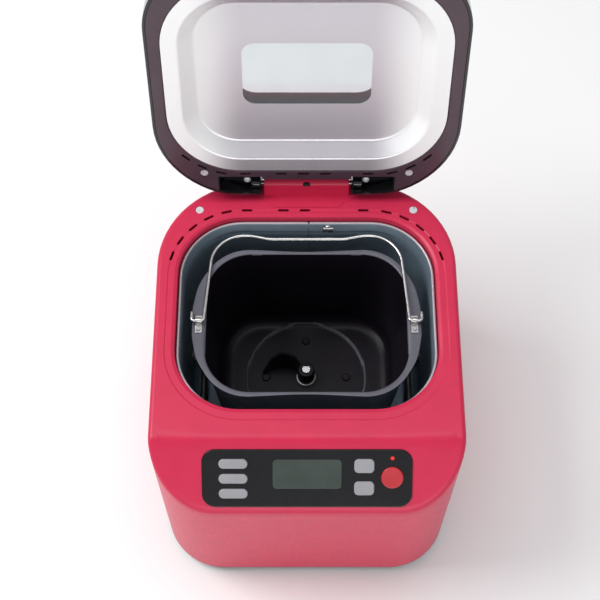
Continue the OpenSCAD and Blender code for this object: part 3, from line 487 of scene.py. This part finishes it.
def stadium(x, y, a, z0, z1):
    """Cutter for one slot, turned by a degrees."""
    slot = prism(rect(5.25, 1.2, 1.15, n=4, run=0), z0, z1)
    return moved(slot, at(x, y) @ Matrix.Rotation(math.radians(a), 4, "Z"))


def slots_round(out, corners, rear_x, rear_y, z0, z1):
    """Slots on a line parallel to the opening, round the back corners and along the back."""
    r = open_r + out
    shapes = []
    for side in (-1, 1):
        for a in corners:
            x = side * (open_w - open_r + r * math.sin(math.radians(a)))
            y = open_d - open_r + r * math.cos(math.radians(a))
            shapes.append(stadium(x, y, -side * a, z0, z1))
    return shapes + [stadium(x, rear_y, 0, z0, z1) for x in rear_x]


def fine_line(x0, y0, x1, y1):
    """Cutter for a line in the deck, 0.6 mm wide and 0.5 mm deep."""
    turn = Vector((y0 - y1, x1 - x0)).normalized() * 0.3
    corners = ((x0, y0, -1), (x1, y1, -1), (x1, y1, 1), (x0, y0, 1))
    return prism([(x + turn.x * f, y + turn.y * f) for x, y, f in corners], deck - 0.5, deck + 3)


# skirt and rounded edge, top, lip round the opening, then back underneath
edge = profile([(0.35, SEAM, 0), (0, SEAM - 0.5, 0.3), (0, 0, 4.6), (9, 0, 0)], 8)
lip = profile([(11, 0, 0), (10.1, 0, 0.5), (9.2, -0.55, 0.5), (3.6, -0.55, 1.2), (0.5, -2.0, 0.7),
               (0.1, -8.7, 0.3), (2, -9, 0.2), (2, -3.2, 0)], 4)
rings = [up(body(i), under_top(z)) for i, z in edge]
inner, outer = opening(lip[0][0]), body(edge[-1][0])
rings += [up(between(outer, inner, k / 30), top) for k in range(1, 30)]
rings += [up(opening(o), under_top(-z)) for o, z in lip]
rings += [up(between(opening(2), body(9), k / 16), under_top(SKIN)) for k in range(1, 17)]
rings += [up(body(3), under_top(SKIN)), up(body(2.6), under_top(SEAM))]
shell = make("deck_cover", loft(rings, closed=True), AT_DRIVE)

slot_line = 9.5
corner_slots = (13.5, 28.5, 43.5, 58.5, 73.5)
rear_slots = (-57.5, -22.3, -1.4, 55)
holes = slots_round(slot_line, corner_slots, rear_slots, open_d + slot_line, deck - 6, deck + 3)
holes += [bore(SCREW_WELL, deck - 2.2, deck + 3, at(x, 108.8)) for x in (-103.4, 103.4)]
holes.append(fine_line(-30.8, 111.4, 30.8, 111.4))
holes += [fine_line(side * 31.3, 111.7, side * 37, 117) for side in (1, -1)]
cut(shell, joined(*holes), AT_DRIVE)
cut(shell, prism(rect(fascia_w + 0.2, fascia_d + 0.2, fascia_r + 0.2), -6, 20), ON_PANEL @ at(0, fascia_v))
finish(shell, "housing", "red_plastic", "top_deck")

# block that carries the hinge, with a notch in its front top edge and a stop in the notch
notch_y, notch_low = 125, deck + 16.5
section = profile([(notch_y, -1, 0), (notch_y, 19.5, 5.5), (pin_y, 22.4, 7), (139, 19.5, 5.5),
                   (139, -1, 0)], 6)
ends = ((-41, 0.06), (-40.2, 0), (40.2, 0), (41, 0.06))
rings = [[(x, y + (pin_y - y) * i, deck + z - i * 6) for y, z in section] for x, i in ends]
hinge_block = make("hinge_block", loft(rings, first=True, last=True), AT_DRIVE)
notch = bore(3.6, notch_low, deck + 30, at(0, notch_y))
pin_bore = bore(2.55, -50, 50, at(0, pin_y, deck + pin_height) @ ALONG_X, 32)
cut(hinge_block, joined(notch, pin_bore), AT_DRIVE)
finish(hinge_block, "housing", "red_plastic")
half_disc = arc(0, notch_y + 0.1, 3.4, 0, 180, 18)
stop = make("hinge_stop", prism(half_disc, notch_low - 0.1, notch_low + 2.8), AT_DRIVE)
finish(stop, "housing", "rubber")

# the housing's wall and lower edge, then half sizes and height of the back panel and the gap round it
wall_t, wall_low = 2.5, 10
back_w, back_h, back_z, back_gap = 49, 57, 79, 0.3
foot = profile([(wall_t, wall_low, 0), (0, wall_low, 2.2), (0, 40, 0)], 6)
rings = [up(body(i), z) for i, z in foot]
rings += [up(body(i), under_top(SEAM + z)) for i, z in ((0, 0.9), (0.4, 0.4), (wall_t, 0.4))]
rings.append(up(body(wall_t), wall_low + 2))
housing = make("housing_shell", loft(rings, closed=True), AT_DRIVE)
gap_w, gap_h = back_w + back_gap, back_h + back_gap
cut(housing, block(-gap_w, gap_w, rear - 8, rear + 8, back_z - gap_h, back_z + gap_h, 0.6), AT_DRIVE)
finish(housing, "housing", "red_plastic", "outer_housing")

ON_BACK = AT_DRIVE @ at(0, rear, back_z) @ ALONG_Y
section = profile([(0.6, 0, 0), (0, 0, 0.6), (0, 2.55, 0), (-2, 2.55, 0), (-2, 4.05, 0)], 4)
rings = [up(rect(back_w, back_h, 2.2, i, n=6), z) for i, z in section]
back = make("back_panel_cover", loft(rings, first=True, last=True), ON_BACK)
vents, vent_pitch = 10, 9
vent = prism(rect(1.75, 18, 1.7, n=4, run=0), -8, 8)
holes = [moved(vent, at(vent_pitch * (k - (vents - 1) / 2), 29)) for k in range(vents)]
holes.append(bore(8.2, -8, 8, at(38, -45)))
holes.append(block(-60, 60, -70, -54.5, 2.5, 10))
cut(back, joined(*holes), ON_BACK)
finish(back, "housing", "red_plastic", "back_panel")

# ---- baking chamber ----

ch_w, ch_d, ch_r = 118, 95.5, 57
ch_top, ch_floor = deck - 8, 60


def chamber(out):
    """Plan of the chamber, whose back wall reaches 2 mm further from the axis than its front wall."""
    return [(x, y * (1 + 1 / ch_d) + 1) for x, y in rect(ch_w, ch_d, ch_r, -out)]


def sheet_joint(low):
    """Cutter for the gap where the ends of the sheet meet at the rim."""
    return block(1.2, 3.0, 96, 103, low, ch_top + 4)


section = profile([(1, 66, 0), (1, ch_top - 3, 0.5), (3, ch_top - 3, 0.9), (3, ch_top, 1.3), (0, ch_top, 1.3),
                   (0, ch_floor, 8), (-14, ch_floor, 0)], 6)
rings = [up(chamber(o), z) for o, z in section]
well = rect(12.5, 12.5, 11)
rings += [up(between(chamber(-14), well, t), ch_floor) for t in (0.33, 0.66, 1)]
rings += [up(well, ch_floor - 1), up(chamber(-8), ch_floor - 1), up(chamber(-1), ch_floor + 2)]
liner = make("chamber_liner", loft(rings, closed=True), AT_DRIVE)

# holes for the two ends of the heating element and for the sensor
heater_x, heater_z = 14, 78
holes = [bore(r, -8, 8, at(x, ch_d + 2, z) @ ALONG_Y, 24)
         for x, z, r in ((-heater_x, heater_z, 3.65), (heater_x, heater_z, 3.65), (21, deck - 15, 4.1))]
cut(liner, joined(sheet_joint(ch_top - 2.2), *holes), AT_DRIVE)
finish(liner, "housing", "chamber_steel", "baking_chamber")
bead = profile([(0.3, ch_top - 0.9, 0), (0.3, ch_top + 0.35, 0.9), (3.0, ch_top + 0.35, 1.2),
                (3.2, ch_top - 2.9, 0.5), (2.2, ch_top - 2.9, 0)], 5)
rim_bead = make("chamber_rim", loft([up(chamber(o), z) for o, z in bead], closed=True), AT_DRIVE)
cut(rim_bead, sheet_joint(ch_top - 3), AT_DRIVE)
finish(rim_bead, "housing", "chamber_steel", look="rim_steel")
# painted highlight: the seam takes the rim's lighter steel so that it shows as a light line down the back
# wall
seam = make("chamber_seam", block(1.4, 2.1, ch_d + 1.5, ch_d + 2.1, 80, ch_top - 3, 0.2), AT_DRIVE)
finish(seam, "housing", "chamber_steel", look="rim_steel")

# ---- pan ----

# half sizes at the rim and at the floor, corner radius, then the round step in the floor
pan_w, pan_d, pan_r = 95, 71.75, 42
floor_w, floor_d = 87, 65.25
pan_floor = rim - 131.8
fillet = 12
step_r, step_depth, step_run = 62, 2.5, 2.2


def pan_surface(t):
    """Rings down one face of the pan, from under the rim to the middle, for the sheet's offset t."""
    big = fillet + t

    def height(x, y):
        qx, qy = abs(x) - (floor_w - pan_r), abs(y) - (floor_d - pan_r)
        inset = pan_r + t - math.hypot(max(qx, 0), max(qy, 0)) - min(max(qx, qy), 0)
        rise = big - math.sqrt(big * big - (big - inset) ** 2) if inset < big else 0
        step = min(1, max(0, (step_r + t - math.hypot(x, y)) / step_run))
        return pan_floor - t + rise - step_depth * step * step * (3 - 2 * step)

    rings = []
    for k in range(9):
        f = k / 8
        wall = rect(pan_w + (floor_w - pan_w) * f + t, pan_d + (floor_d - pan_d) * f + t, pan_r + t)
        rings.append(up(wall, rim - 3 + (pan_floor + big - t - rim + 3) * f))
    for a in range(8, 56, 6):
        inset = big * (1 - math.cos(math.radians(a)))
        wide = rect(floor_w + t, floor_d + t, pan_r + t, inset)
        rings.append(up(wide, pan_floor - t + big * (1 - math.sin(math.radians(a)))))
    r = step_r + 0.1 + t
    circle = rect(r, r, r - 2.1)
    for k in range(1, 7):
        rings.append(up(between(wide, circle, k / 6), height))
    for r in (61.6, 61.1, 60.6, 60.1, 59.6, 58, 40, 12):
        rings.append(up(rect(r + t, r + t, (r + t) * 0.968), height))
    return rings


def flange(share, z):
    """Ring across the rim's flange, from the pan's edge at 0 to its outer edge at 1. The flange
    narrows in the middle of the long sides and widens to ears on the short ones."""
    width, waist, ear = 6.3, 3.2, 7.2
    ring = []
    for x, y in rect(pan_w, pan_d, pan_r):
        qx, qy = max(abs(x) - pan_w + pan_r, 0), max(abs(y) - pan_d + pan_r, 0)
        reach = math.hypot(qx, qy)
        nx = math.copysign(qx / reach, x) if reach else 0
        ny = math.copysign(qy / reach, y) if reach else 0
        out = width - waist * math.exp(-((x / 48) ** 2)) * abs(ny)
        ox, oy = x + nx * out, y + ny * out
        ox += nx * ear * (1 - min(1, max(0, (abs(oy) - 15) / 38)))
        ring.append((x + (ox - x) * share, y + (oy - y) * share, z))
    return ring


edge = ((0.28, -1.7), (0.94, -1.6), (0.99, -1.2), (1.0, -0.7), (0.975, -0.15), (0.93, 0),
        (0.6, -0.05), (0.36, 0), (0.2, -0.2), (0.08, -0.75), (0.0, -1.8))
rings = list(reversed(pan_surface(1.6)))
rings += [flange(share, rim + z) for share, z in edge]
rings += pan_surface(0)
pan = make("pan", loft(rings, first=True, last=True), AT_DRIVE, 50)
finish(pan, "pan", "nonstick", "bread_pan")

# the coat inside is black; the flange and the outer wall are grey, and the top of the step's edge is painted
# grey as a painted highlight
pan.data.materials.append(FINISH["pan_grey"])
for p in pan.data.polygons:
    c = p.center * 1000
    flat = Vector((c.x, c.y - axis_y))
    deep = c.z < rim - 1.1 and max(abs(flat.x) - pan_w, abs(flat.y) - pan_d) < 0.2
    out = p.normal.x * flat.x + p.normal.y * flat.y > 0
    # painted highlight: the faces on top of the step's edge take the lighter grey so that the edge shows as a
    # light line
    step = step_r - 1.9 < flat.length < step_r - 0.2 and abs(c.z - pan_floor) < 3 and p.normal.z > 0
    if step or not deep and c.z > pan_floor + 20 or out and c.z > pan_floor - 2 and p.normal.z < 0.3:
        p.material_index = 1

bush_low, bush_top = cad("pan_bush")[0][2], cad("pan_bush")[1][2]
bush_line = profile([(4.2, bush_low, 0), (12, bush_low, 0.8), (12, pan_floor - 5, 0),
                     (10.2, pan_floor - 5, 0), (10.2, bush_top, 0.9), (4.2, bush_top, 0)], 4)
bush = make("bush", turned(bush_line + bush_line[:1], 64, False, False), AT_DRIVE)
finish(bush, "pan", "cast_alloy", "pan_bush")

# ---- paddle ----

low = cad("kneading_paddle")[0][2]
tip = cad("pan_shaft")[1][2]
hub_line = profile([(4.1, low, 0), (9, low, 0.6), (9, low + 8, 1), (8, tip - 0.6, 1.4), (5.4, tip - 0.6, 0.8),
                    (4.1, tip - 1.4, 0)], 5)
hub = turned(hub_line, 56, False, False)

# the fin stands on an arc beside the hub, and its height follows the distance to the left
fin_x, fin_y, fin_r, fin_t = -24, -14, 26.3, 1.3
fin_heights = [(4, 16), (13, 28.4), (24, 30.9), (34, 24), (42, 8), (44.4, 0.6)]
fin = []
for k in range(41):
    a = math.radians(42 + 98 * k / 40)
    across, along = math.cos(a), math.sin(a)
    h = curve_between(-(fin_x + fin_r * across), fin_heights)
    rise = [(1, 0), (1, h * 0.5), (1, h - min(1.2, h / 2)), (0.72, h - min(0.45, h / 4))]
    cross = [(-fin_t * f, z) for f, z in rise] + [(0, h)] + [(fin_t * f, z) for f, z in reversed(rise)]
    fin.append([(fin_x + (fin_r + o) * across, fin_y + (fin_r + o) * along, low + z) for o, z in cross])
paddle = make("paddle", joined(hub, loft(fin, first=True, last=True)), AT_DRIVE, 45)
finish(paddle, "paddle", "nonstick", "kneading_paddle")

# ---- bail ----

# the wire's centre line, drawn from its right hook over the top: lean of the legs in degrees, radius of
# the corners and length, then the hook's radius and places across, then the dip in the middle with the
# radius and angle of its bends
lean_in, bend, bail_len = 4.5, 32, 94
hook, hook_x, leg_x = 2.5, 108.6, 97
dip, dip_r, dip_a = 4, 40, 12
sin_in, cos_in = math.sin(math.radians(lean_in)), math.cos(math.radians(lean_in))
sin_dip, cos_dip = math.sin(math.radians(dip_a)), math.cos(math.radians(dip_a))
leg = (bail_len - bend - hook * (1 - sin_in) + bend * sin_in) / cos_in
corner_x, corner_y = leg_x - leg * sin_in - bend * cos_in, bail_len - bend
dip_run = (dip - 2 * dip_r * (1 - cos_dip)) / sin_dip
cross_x = corner_x - 0.5 - 2 * dip_r * sin_dip - dip_run * cos_dip
half = [(hook_x, hook + 6), (hook_x, hook + 3)] + arc(hook_x - hook, hook, hook, 0, -90)
half += arc(leg_x + hook * cos_in, hook, hook, 270, 180 + lean_in)
half += [(leg_x - leg * sin_in * f, hook * (1 - sin_in) + leg * cos_in * f)
         for f in (0.1, 0.3, 0.5, 0.7, 0.9)]
half += arc(corner_x, corner_y, bend, lean_in, 90, 24)
half += arc(corner_x - 0.5, bail_len - dip_r, dip_r, 90, 90 + dip_a, 8)
half += arc(cross_x, bail_len - dip + dip_r, dip_r, 270 + dip_a, 270, 8)
middle = [(x, bail_len - dip) for x in (cross_x * 0.5, 0, -cross_x * 0.5)]
wire = half + middle + [(-x, y) for x, y in reversed(half)]
ON_PAN = AT_DRIVE @ at(0, -2, rim + 5.5) @ Matrix.Rotation(math.radians(-2.5), 4, "X")
bail = make("bail", sweep(wire, 1.6), ON_PAN, 60)
finish(bail, "bail", "bright_steel", "bail_handle")

# ---- lid, drawn closed from the hinge and turned open ----

relief = -lid_low  # radius about the hinge that clears the deck
window_seat = 4.8  # height of the ledge under the window
lining = lid_low + 12  # height of the reflector's dish
reflector_out = 6  # how far the reflector reaches past the opening

# hinge bays, from the middle outwards, with their front and their distance from the rear edge, and
# between them the gap for the hinge block
bay_in, bay_out, bay_front, bay_edge = 42, 84, -19, 3
gap_x, gap_front = 43, -13


def from_axis(outline):
    """Outline drawn about the drive axis, seen from the hinge."""
    return [(x, y - pin_y) for x, y in outline]


def lid(inset):
    return from_axis(plan(half_w, lid_front, rear, front_r + 10, rear_r, inset + 0.5))


def window(out):
    return from_axis(rect(66, 42, 20, -out))


def reflector(inset):
    return rect(open_w + reflector_out, open_d + reflector_out, open_r + reflector_out, inset)


def relieved(ring):
    """Rounds what lies behind the hinge about its axis, clear of the deck."""
    return [(x, y, max(z, -math.sqrt(relief ** 2 - y * y)) if 0 < y < 12 and z < 0 else z)
            for x, y, z in ring]


def bay(side, x0, x1, front_y, inset):
    """Outline of a hinge bay: straight in front, and following the lid's rear edge behind."""
    curve = []
    for k in range(13):
        x = x1 + (x0 - x1) * k / 12
        over = max(0, x - (half_w - rear_r))
        curve.append((x, rear - pin_y - rear_r + math.sqrt((rear_r - 0.5 - inset) ** 2 - over ** 2)))
    ring = [(x0, front_y), (x1, front_y)] + curve
    return [(side * x, y) for x, y in ring]


crown = profile([(0, 0, 0), (0, 6, 4), (4, 14, 8), (16, 22, 25), (38, lid_top, 40), (60, lid_top, 0)], 6)
skin = [(2.5, lid_low)] + profile([(1.2, lid_low, 0), (0, lid_low, 1.0), (0, 0, 0)], 4) + crown[1:-1]
rings = [up(lid(i), z) for i, z in skin]
rings += [up(between(lid(skin[-1][0]), window(9), k / 8), lid_top) for k in range(1, 9)]
groove = profile([(9, lid_top, 0), (6.4, lid_top, 0.4), (5.8, 28.1, 0.3), (5.0, 28.1, 0.3),
                  (4.4, lid_top, 0.4), (0, lid_top, 1.8), (0, window_seat, 0), (2.4, window_seat, 0),
                  (2.4, 26, 0)], 4)
rings += [up(window(o), z) for o, z in groove[1:]]
rings += [up(lid(i), z) for i, z in ((40, 26), (18, 19), (5, 10), (2.5, 3), (2.5, lid_low + 0.4))]
lid_shell = make("lid_cover", loft([relieved(r) for r in rings], closed=True), ON_LID)
bays = [prism(bay(side, bay_in, bay_out, bay_front, bay_edge), lid_low - 5, 7) for side in (-1, 1)]
cut(lid_shell, joined(*bays), ON_LID)
cut(lid_shell, block(-gap_x, gap_x, gap_front, 30, -40, 60, 1.5), ON_LID)
finish(lid_shell, "lid", "lid_black", "lid_shell")

grip_low, grip_top = lid_low + 5, lid_low + 11
section = profile([(2, grip_low, 0), (0, grip_low, 1.2), (0, grip_top, 2), (2.2, grip_top, 0)], 4)
rings = [up(plan(34, 4, 6, 3, 3, i, n=6, run=6), z) for i, z in section]
grip = make("lid_grip", loft(rings, first=True, last=True), ON_LID @ at(0, 1 - pin_y - lid_front))
finish(grip, "lid", "lid_black")

# liners of the bays beside the hinge, open below
liners = []
for side in (-1, 1):
    walls = []
    for t, z in ((0, lid_low + 0.5), (0, 6.8), (1.2, 5.6), (1.2, lid_low + 0.5)):
        plan_of_bay = bay(side, gap_x + 0.6 + t, bay_out - 0.1 - t, bay_front + 0.1 + t, bay_edge - 0.1 + t)
        walls.append(relieved(up(plan_of_bay, z)))
    liners += [loft(walls[:2], last=True), loft(walls[2:], first=True), loft([walls[3], walls[0]])]
bay_liner = make("hinge_bays", joined(*liners), ON_LID)
finish(bay_liner, "lid", "lid_black")

section = profile([(2.7, lid_low + 3, 0), (2.7, lid_low, 0.7), (12, lid_low, 0)], 4)
rings = [up(lid(i), z) for i, z in section]
rings += [up(between(lid(12), from_axis(reflector(-1.4)), k / 6), lid_low) for k in range(1, 7)]
rings += [up(from_axis(reflector(i)), lid_low + z) for i, z in ((-0.6, 0.2), (-0.3, 0.8), (-0.3, 3))]
lid_frame = make("lid_surround", loft([relieved(r) for r in rings], closed=True), ON_LID)
screw_places = [(-97, 108.5), (97, 108.5), (-101, -99), (101, -99)]
holes = slots_round(12, (16, 31, 46), (-58, -24, -3, 18, 58), open_d + 10.5, lid_low - 4, lid_low + 8)
holes += [bore(SCREW_WELL, lid_low - 4, lid_low + 2, at(x, y)) for x, y in screw_places]
cut(lid_frame, joined(*holes), OVER_OPENING)
bays = [block(x0, x1, bay_front, 9, lid_low - 5, 7, 1.0)
        for x0, x1 in ((-bay_out, -bay_in), (bay_in, bay_out))]
cut(lid_frame, joined(*bays), ON_LID)
cut(lid_frame, block(-gap_x - 2.6, gap_x + 2.6, gap_front - 2.6, 30, -40, 60, 1.5), ON_LID)
finish(lid_frame, "lid", "plum_plastic", "lid_frame")

dish = profile([(0, lid_low + 0.8, 0), (0, lid_low, 0.3), (15, lid_low, 4), (27, lining, 5),
                (45, lining, 0)], 7)
rings = [up(reflector(i), z) for i, z in dish]
hole = rect(58, 34, 12)
rings += [up(between(reflector(45), hole, k / 4), lining) for k in (1, 2, 3)]
rings += [up(hole, lining), up(rect(58.2, 34.2, 12.2), lining + 0.8)]
rings += [up(reflector(i), z + 0.8) for i, z in ((45, lining), (27, lining), (15, lid_low))]
bright = make("reflector", loft(rings, closed=True), OVER_OPENING)
finish(bright, "lid", "reflector_steel", "lid_reflector")

# domed screws that hold the hinge brackets, on short bosses
boss = turned(profile([(4.4, 3.4, 0), (4.4, -1.4, 0.5), (0.6, -1.4, 0)], 4), 40)
dome = turned(profile([(0.6, -1.2, 0), (3.5, -1.2, 0.2), (3.5, -2.4, 0.9), (2.2, -3.5, 1.6), (1.3, -3.5, 0.2),
                       (0.9, -2.6, 0), (0.2, -2.6, 0)], 4), 40)
screws = [at(x, -6) for x in (-57, 57)]
bosses = make("hinge_bosses", joined(*[moved(boss, place) for place in screws]), ON_LID)
finish(bosses, "lid", "lid_black")
heads = make("hinge_screw_heads", joined(*[moved(dome, place) for place in screws]), ON_LID)
# the heads take the lighter copy of bright steel, painted light
finish(heads, "lid", "bright_steel", "lid_hinge_screws", look="screw_steel_painted_light")

# ---- keys ----


def key(name, node, body_name, slot, w, h, r, x, v):
    """Key cap of size w by h with a skirt under the fascia and a stem, at x, v on the panel."""
    section = profile([(0, -4, 0), (0, 2.8, 1.0), (min(min(w, h) / 2 - 1.5, 0.9 * r), 2.55, 0)], 6)
    cap = loft([up(rect(w / 2, h / 2, r, i, n=10, run=4), z) for i, z in section], first=True, last=True)
    skirt = prism(rect(w / 2 + 1.5, h / 2 + 1.5, r + 1.5, n=10, run=4), -4, -1.6)
    stem = turned(profile([(2, -6, 0), (2, -3.5, 0)], 2), 24)
    obj = make(name, joined(cap, skirt, stem), ON_PANEL @ at(x, v), 40)
    finish(obj, body_name, slot, node)


KEYS = (("menu_cap", "menu_button", "menu_key", "button_grey", 26, 9, 4.4, -66, 47),
        ("crust_cap", "crust_button", "crust_key", "button_grey", 26, 9, 4.4, -66, 33),
        ("loaf_cap", "loaf_button", "loaf_key", "button_grey", 26, 9, 4.4, -66, 19),
        ("time_up_cap", "time_up_button", "time_up_key", "button_grey", 18, 13, 4, 51, 45),
        ("time_down_cap", "time_down_button", "time_down_key", "button_grey", 18, 13, 4, 51, 24),
        ("start_cap", "start_button", "start_key", "start_red", 20, 20, 9.9, 76, 34))
for row in KEYS:
    key(*row)


def well_hole(w, d, r, x, v):
    return moved(prism(rect(w / 2, d / 2, r, n=8, run=2), -5, 5), at(x, v))


display_w, display_d, display_r, display_v = 31, 14, 4, 37
section = profile([(0, -0.8, 0), (0, 1.2, 0.6), (3, 1.2, 0)], 4)
rings = [up(rect(fascia_w, fascia_d, fascia_r, i), z) for i, z in section]
fascia = make("fascia", loft(rings, first=True, last=True), ON_PANEL @ at(0, fascia_v))
wells = [well_hole(w + 0.6, h + 0.6, r + 0.2, x, v) for _, _, _, _, w, h, r, x, v in KEYS]
wells.append(well_hole(2 * display_w, 2 * display_d, display_r, 0, display_v))
wells.append(well_hole(3.7, 3.7, 1.8, 76, 52))
cut(fascia, joined(*wells), ON_PANEL)
finish(fascia, "housing", "panel_black", "control_fascia")
section = profile([(0, -0.8, 0), (0, 1.0, 0.4), (2, 1.0, 0)], 3)
rings = [up(rect(display_w, display_d, display_r, i + 0.02), z) for i, z in section]
display = make("display", loft(rings, first=True, last=True), ON_PANEL @ at(0, display_v))
finish(display, "housing", "display", "display_window")

# ---- finishes of the CAD nodes that stay ----

slot_of = {s["node"]: s["material_slot"] for s in frame["record"]["subparts"]}
# the screws take the lighter copy of bright steel, painted light
LOOK = {"lid_screws": "screw_steel_painted_light", "deck_screws": "screw_steel_painted_light"}
BEVELLED = {"rubber_feet": 0.8, "cord_gland": 0.6, "bail_brackets": 0.3, "base_plate": 0.6,
            "deck_screws": 0.25, "lid_screws": 0.25, "base_screws": 0.25, "lid_hinge_brackets": 0.3,
            "hinge_pin": 0.3, "pan_rivets": 0.25, "pan_shaft": 0.4, "temperature_sensor": 0.3,
            "pan_socket": 0.5, "pan_base_ring": 0.4, "drive_dog": 0.3}
for name, obj in nodes.items():
    if obj.hide_render:
        continue
    obj.data.materials.clear()
    obj.data.materials.append(FINISH[LOOK.get(name, slot_of[name])])
    weld = obj.modifiers.new("weld", "WELD")
    weld.merge_threshold = 0.00001
    if name in BEVELLED:
        bevel = obj.modifiers.new("edge", "BEVEL")
        bevel.width = BEVELLED[name] / 1000
        bevel.segments = 3
        bevel.limit_method = "ANGLE"
        bevel.angle_limit = math.radians(40)
        bevel.harden_normals = True
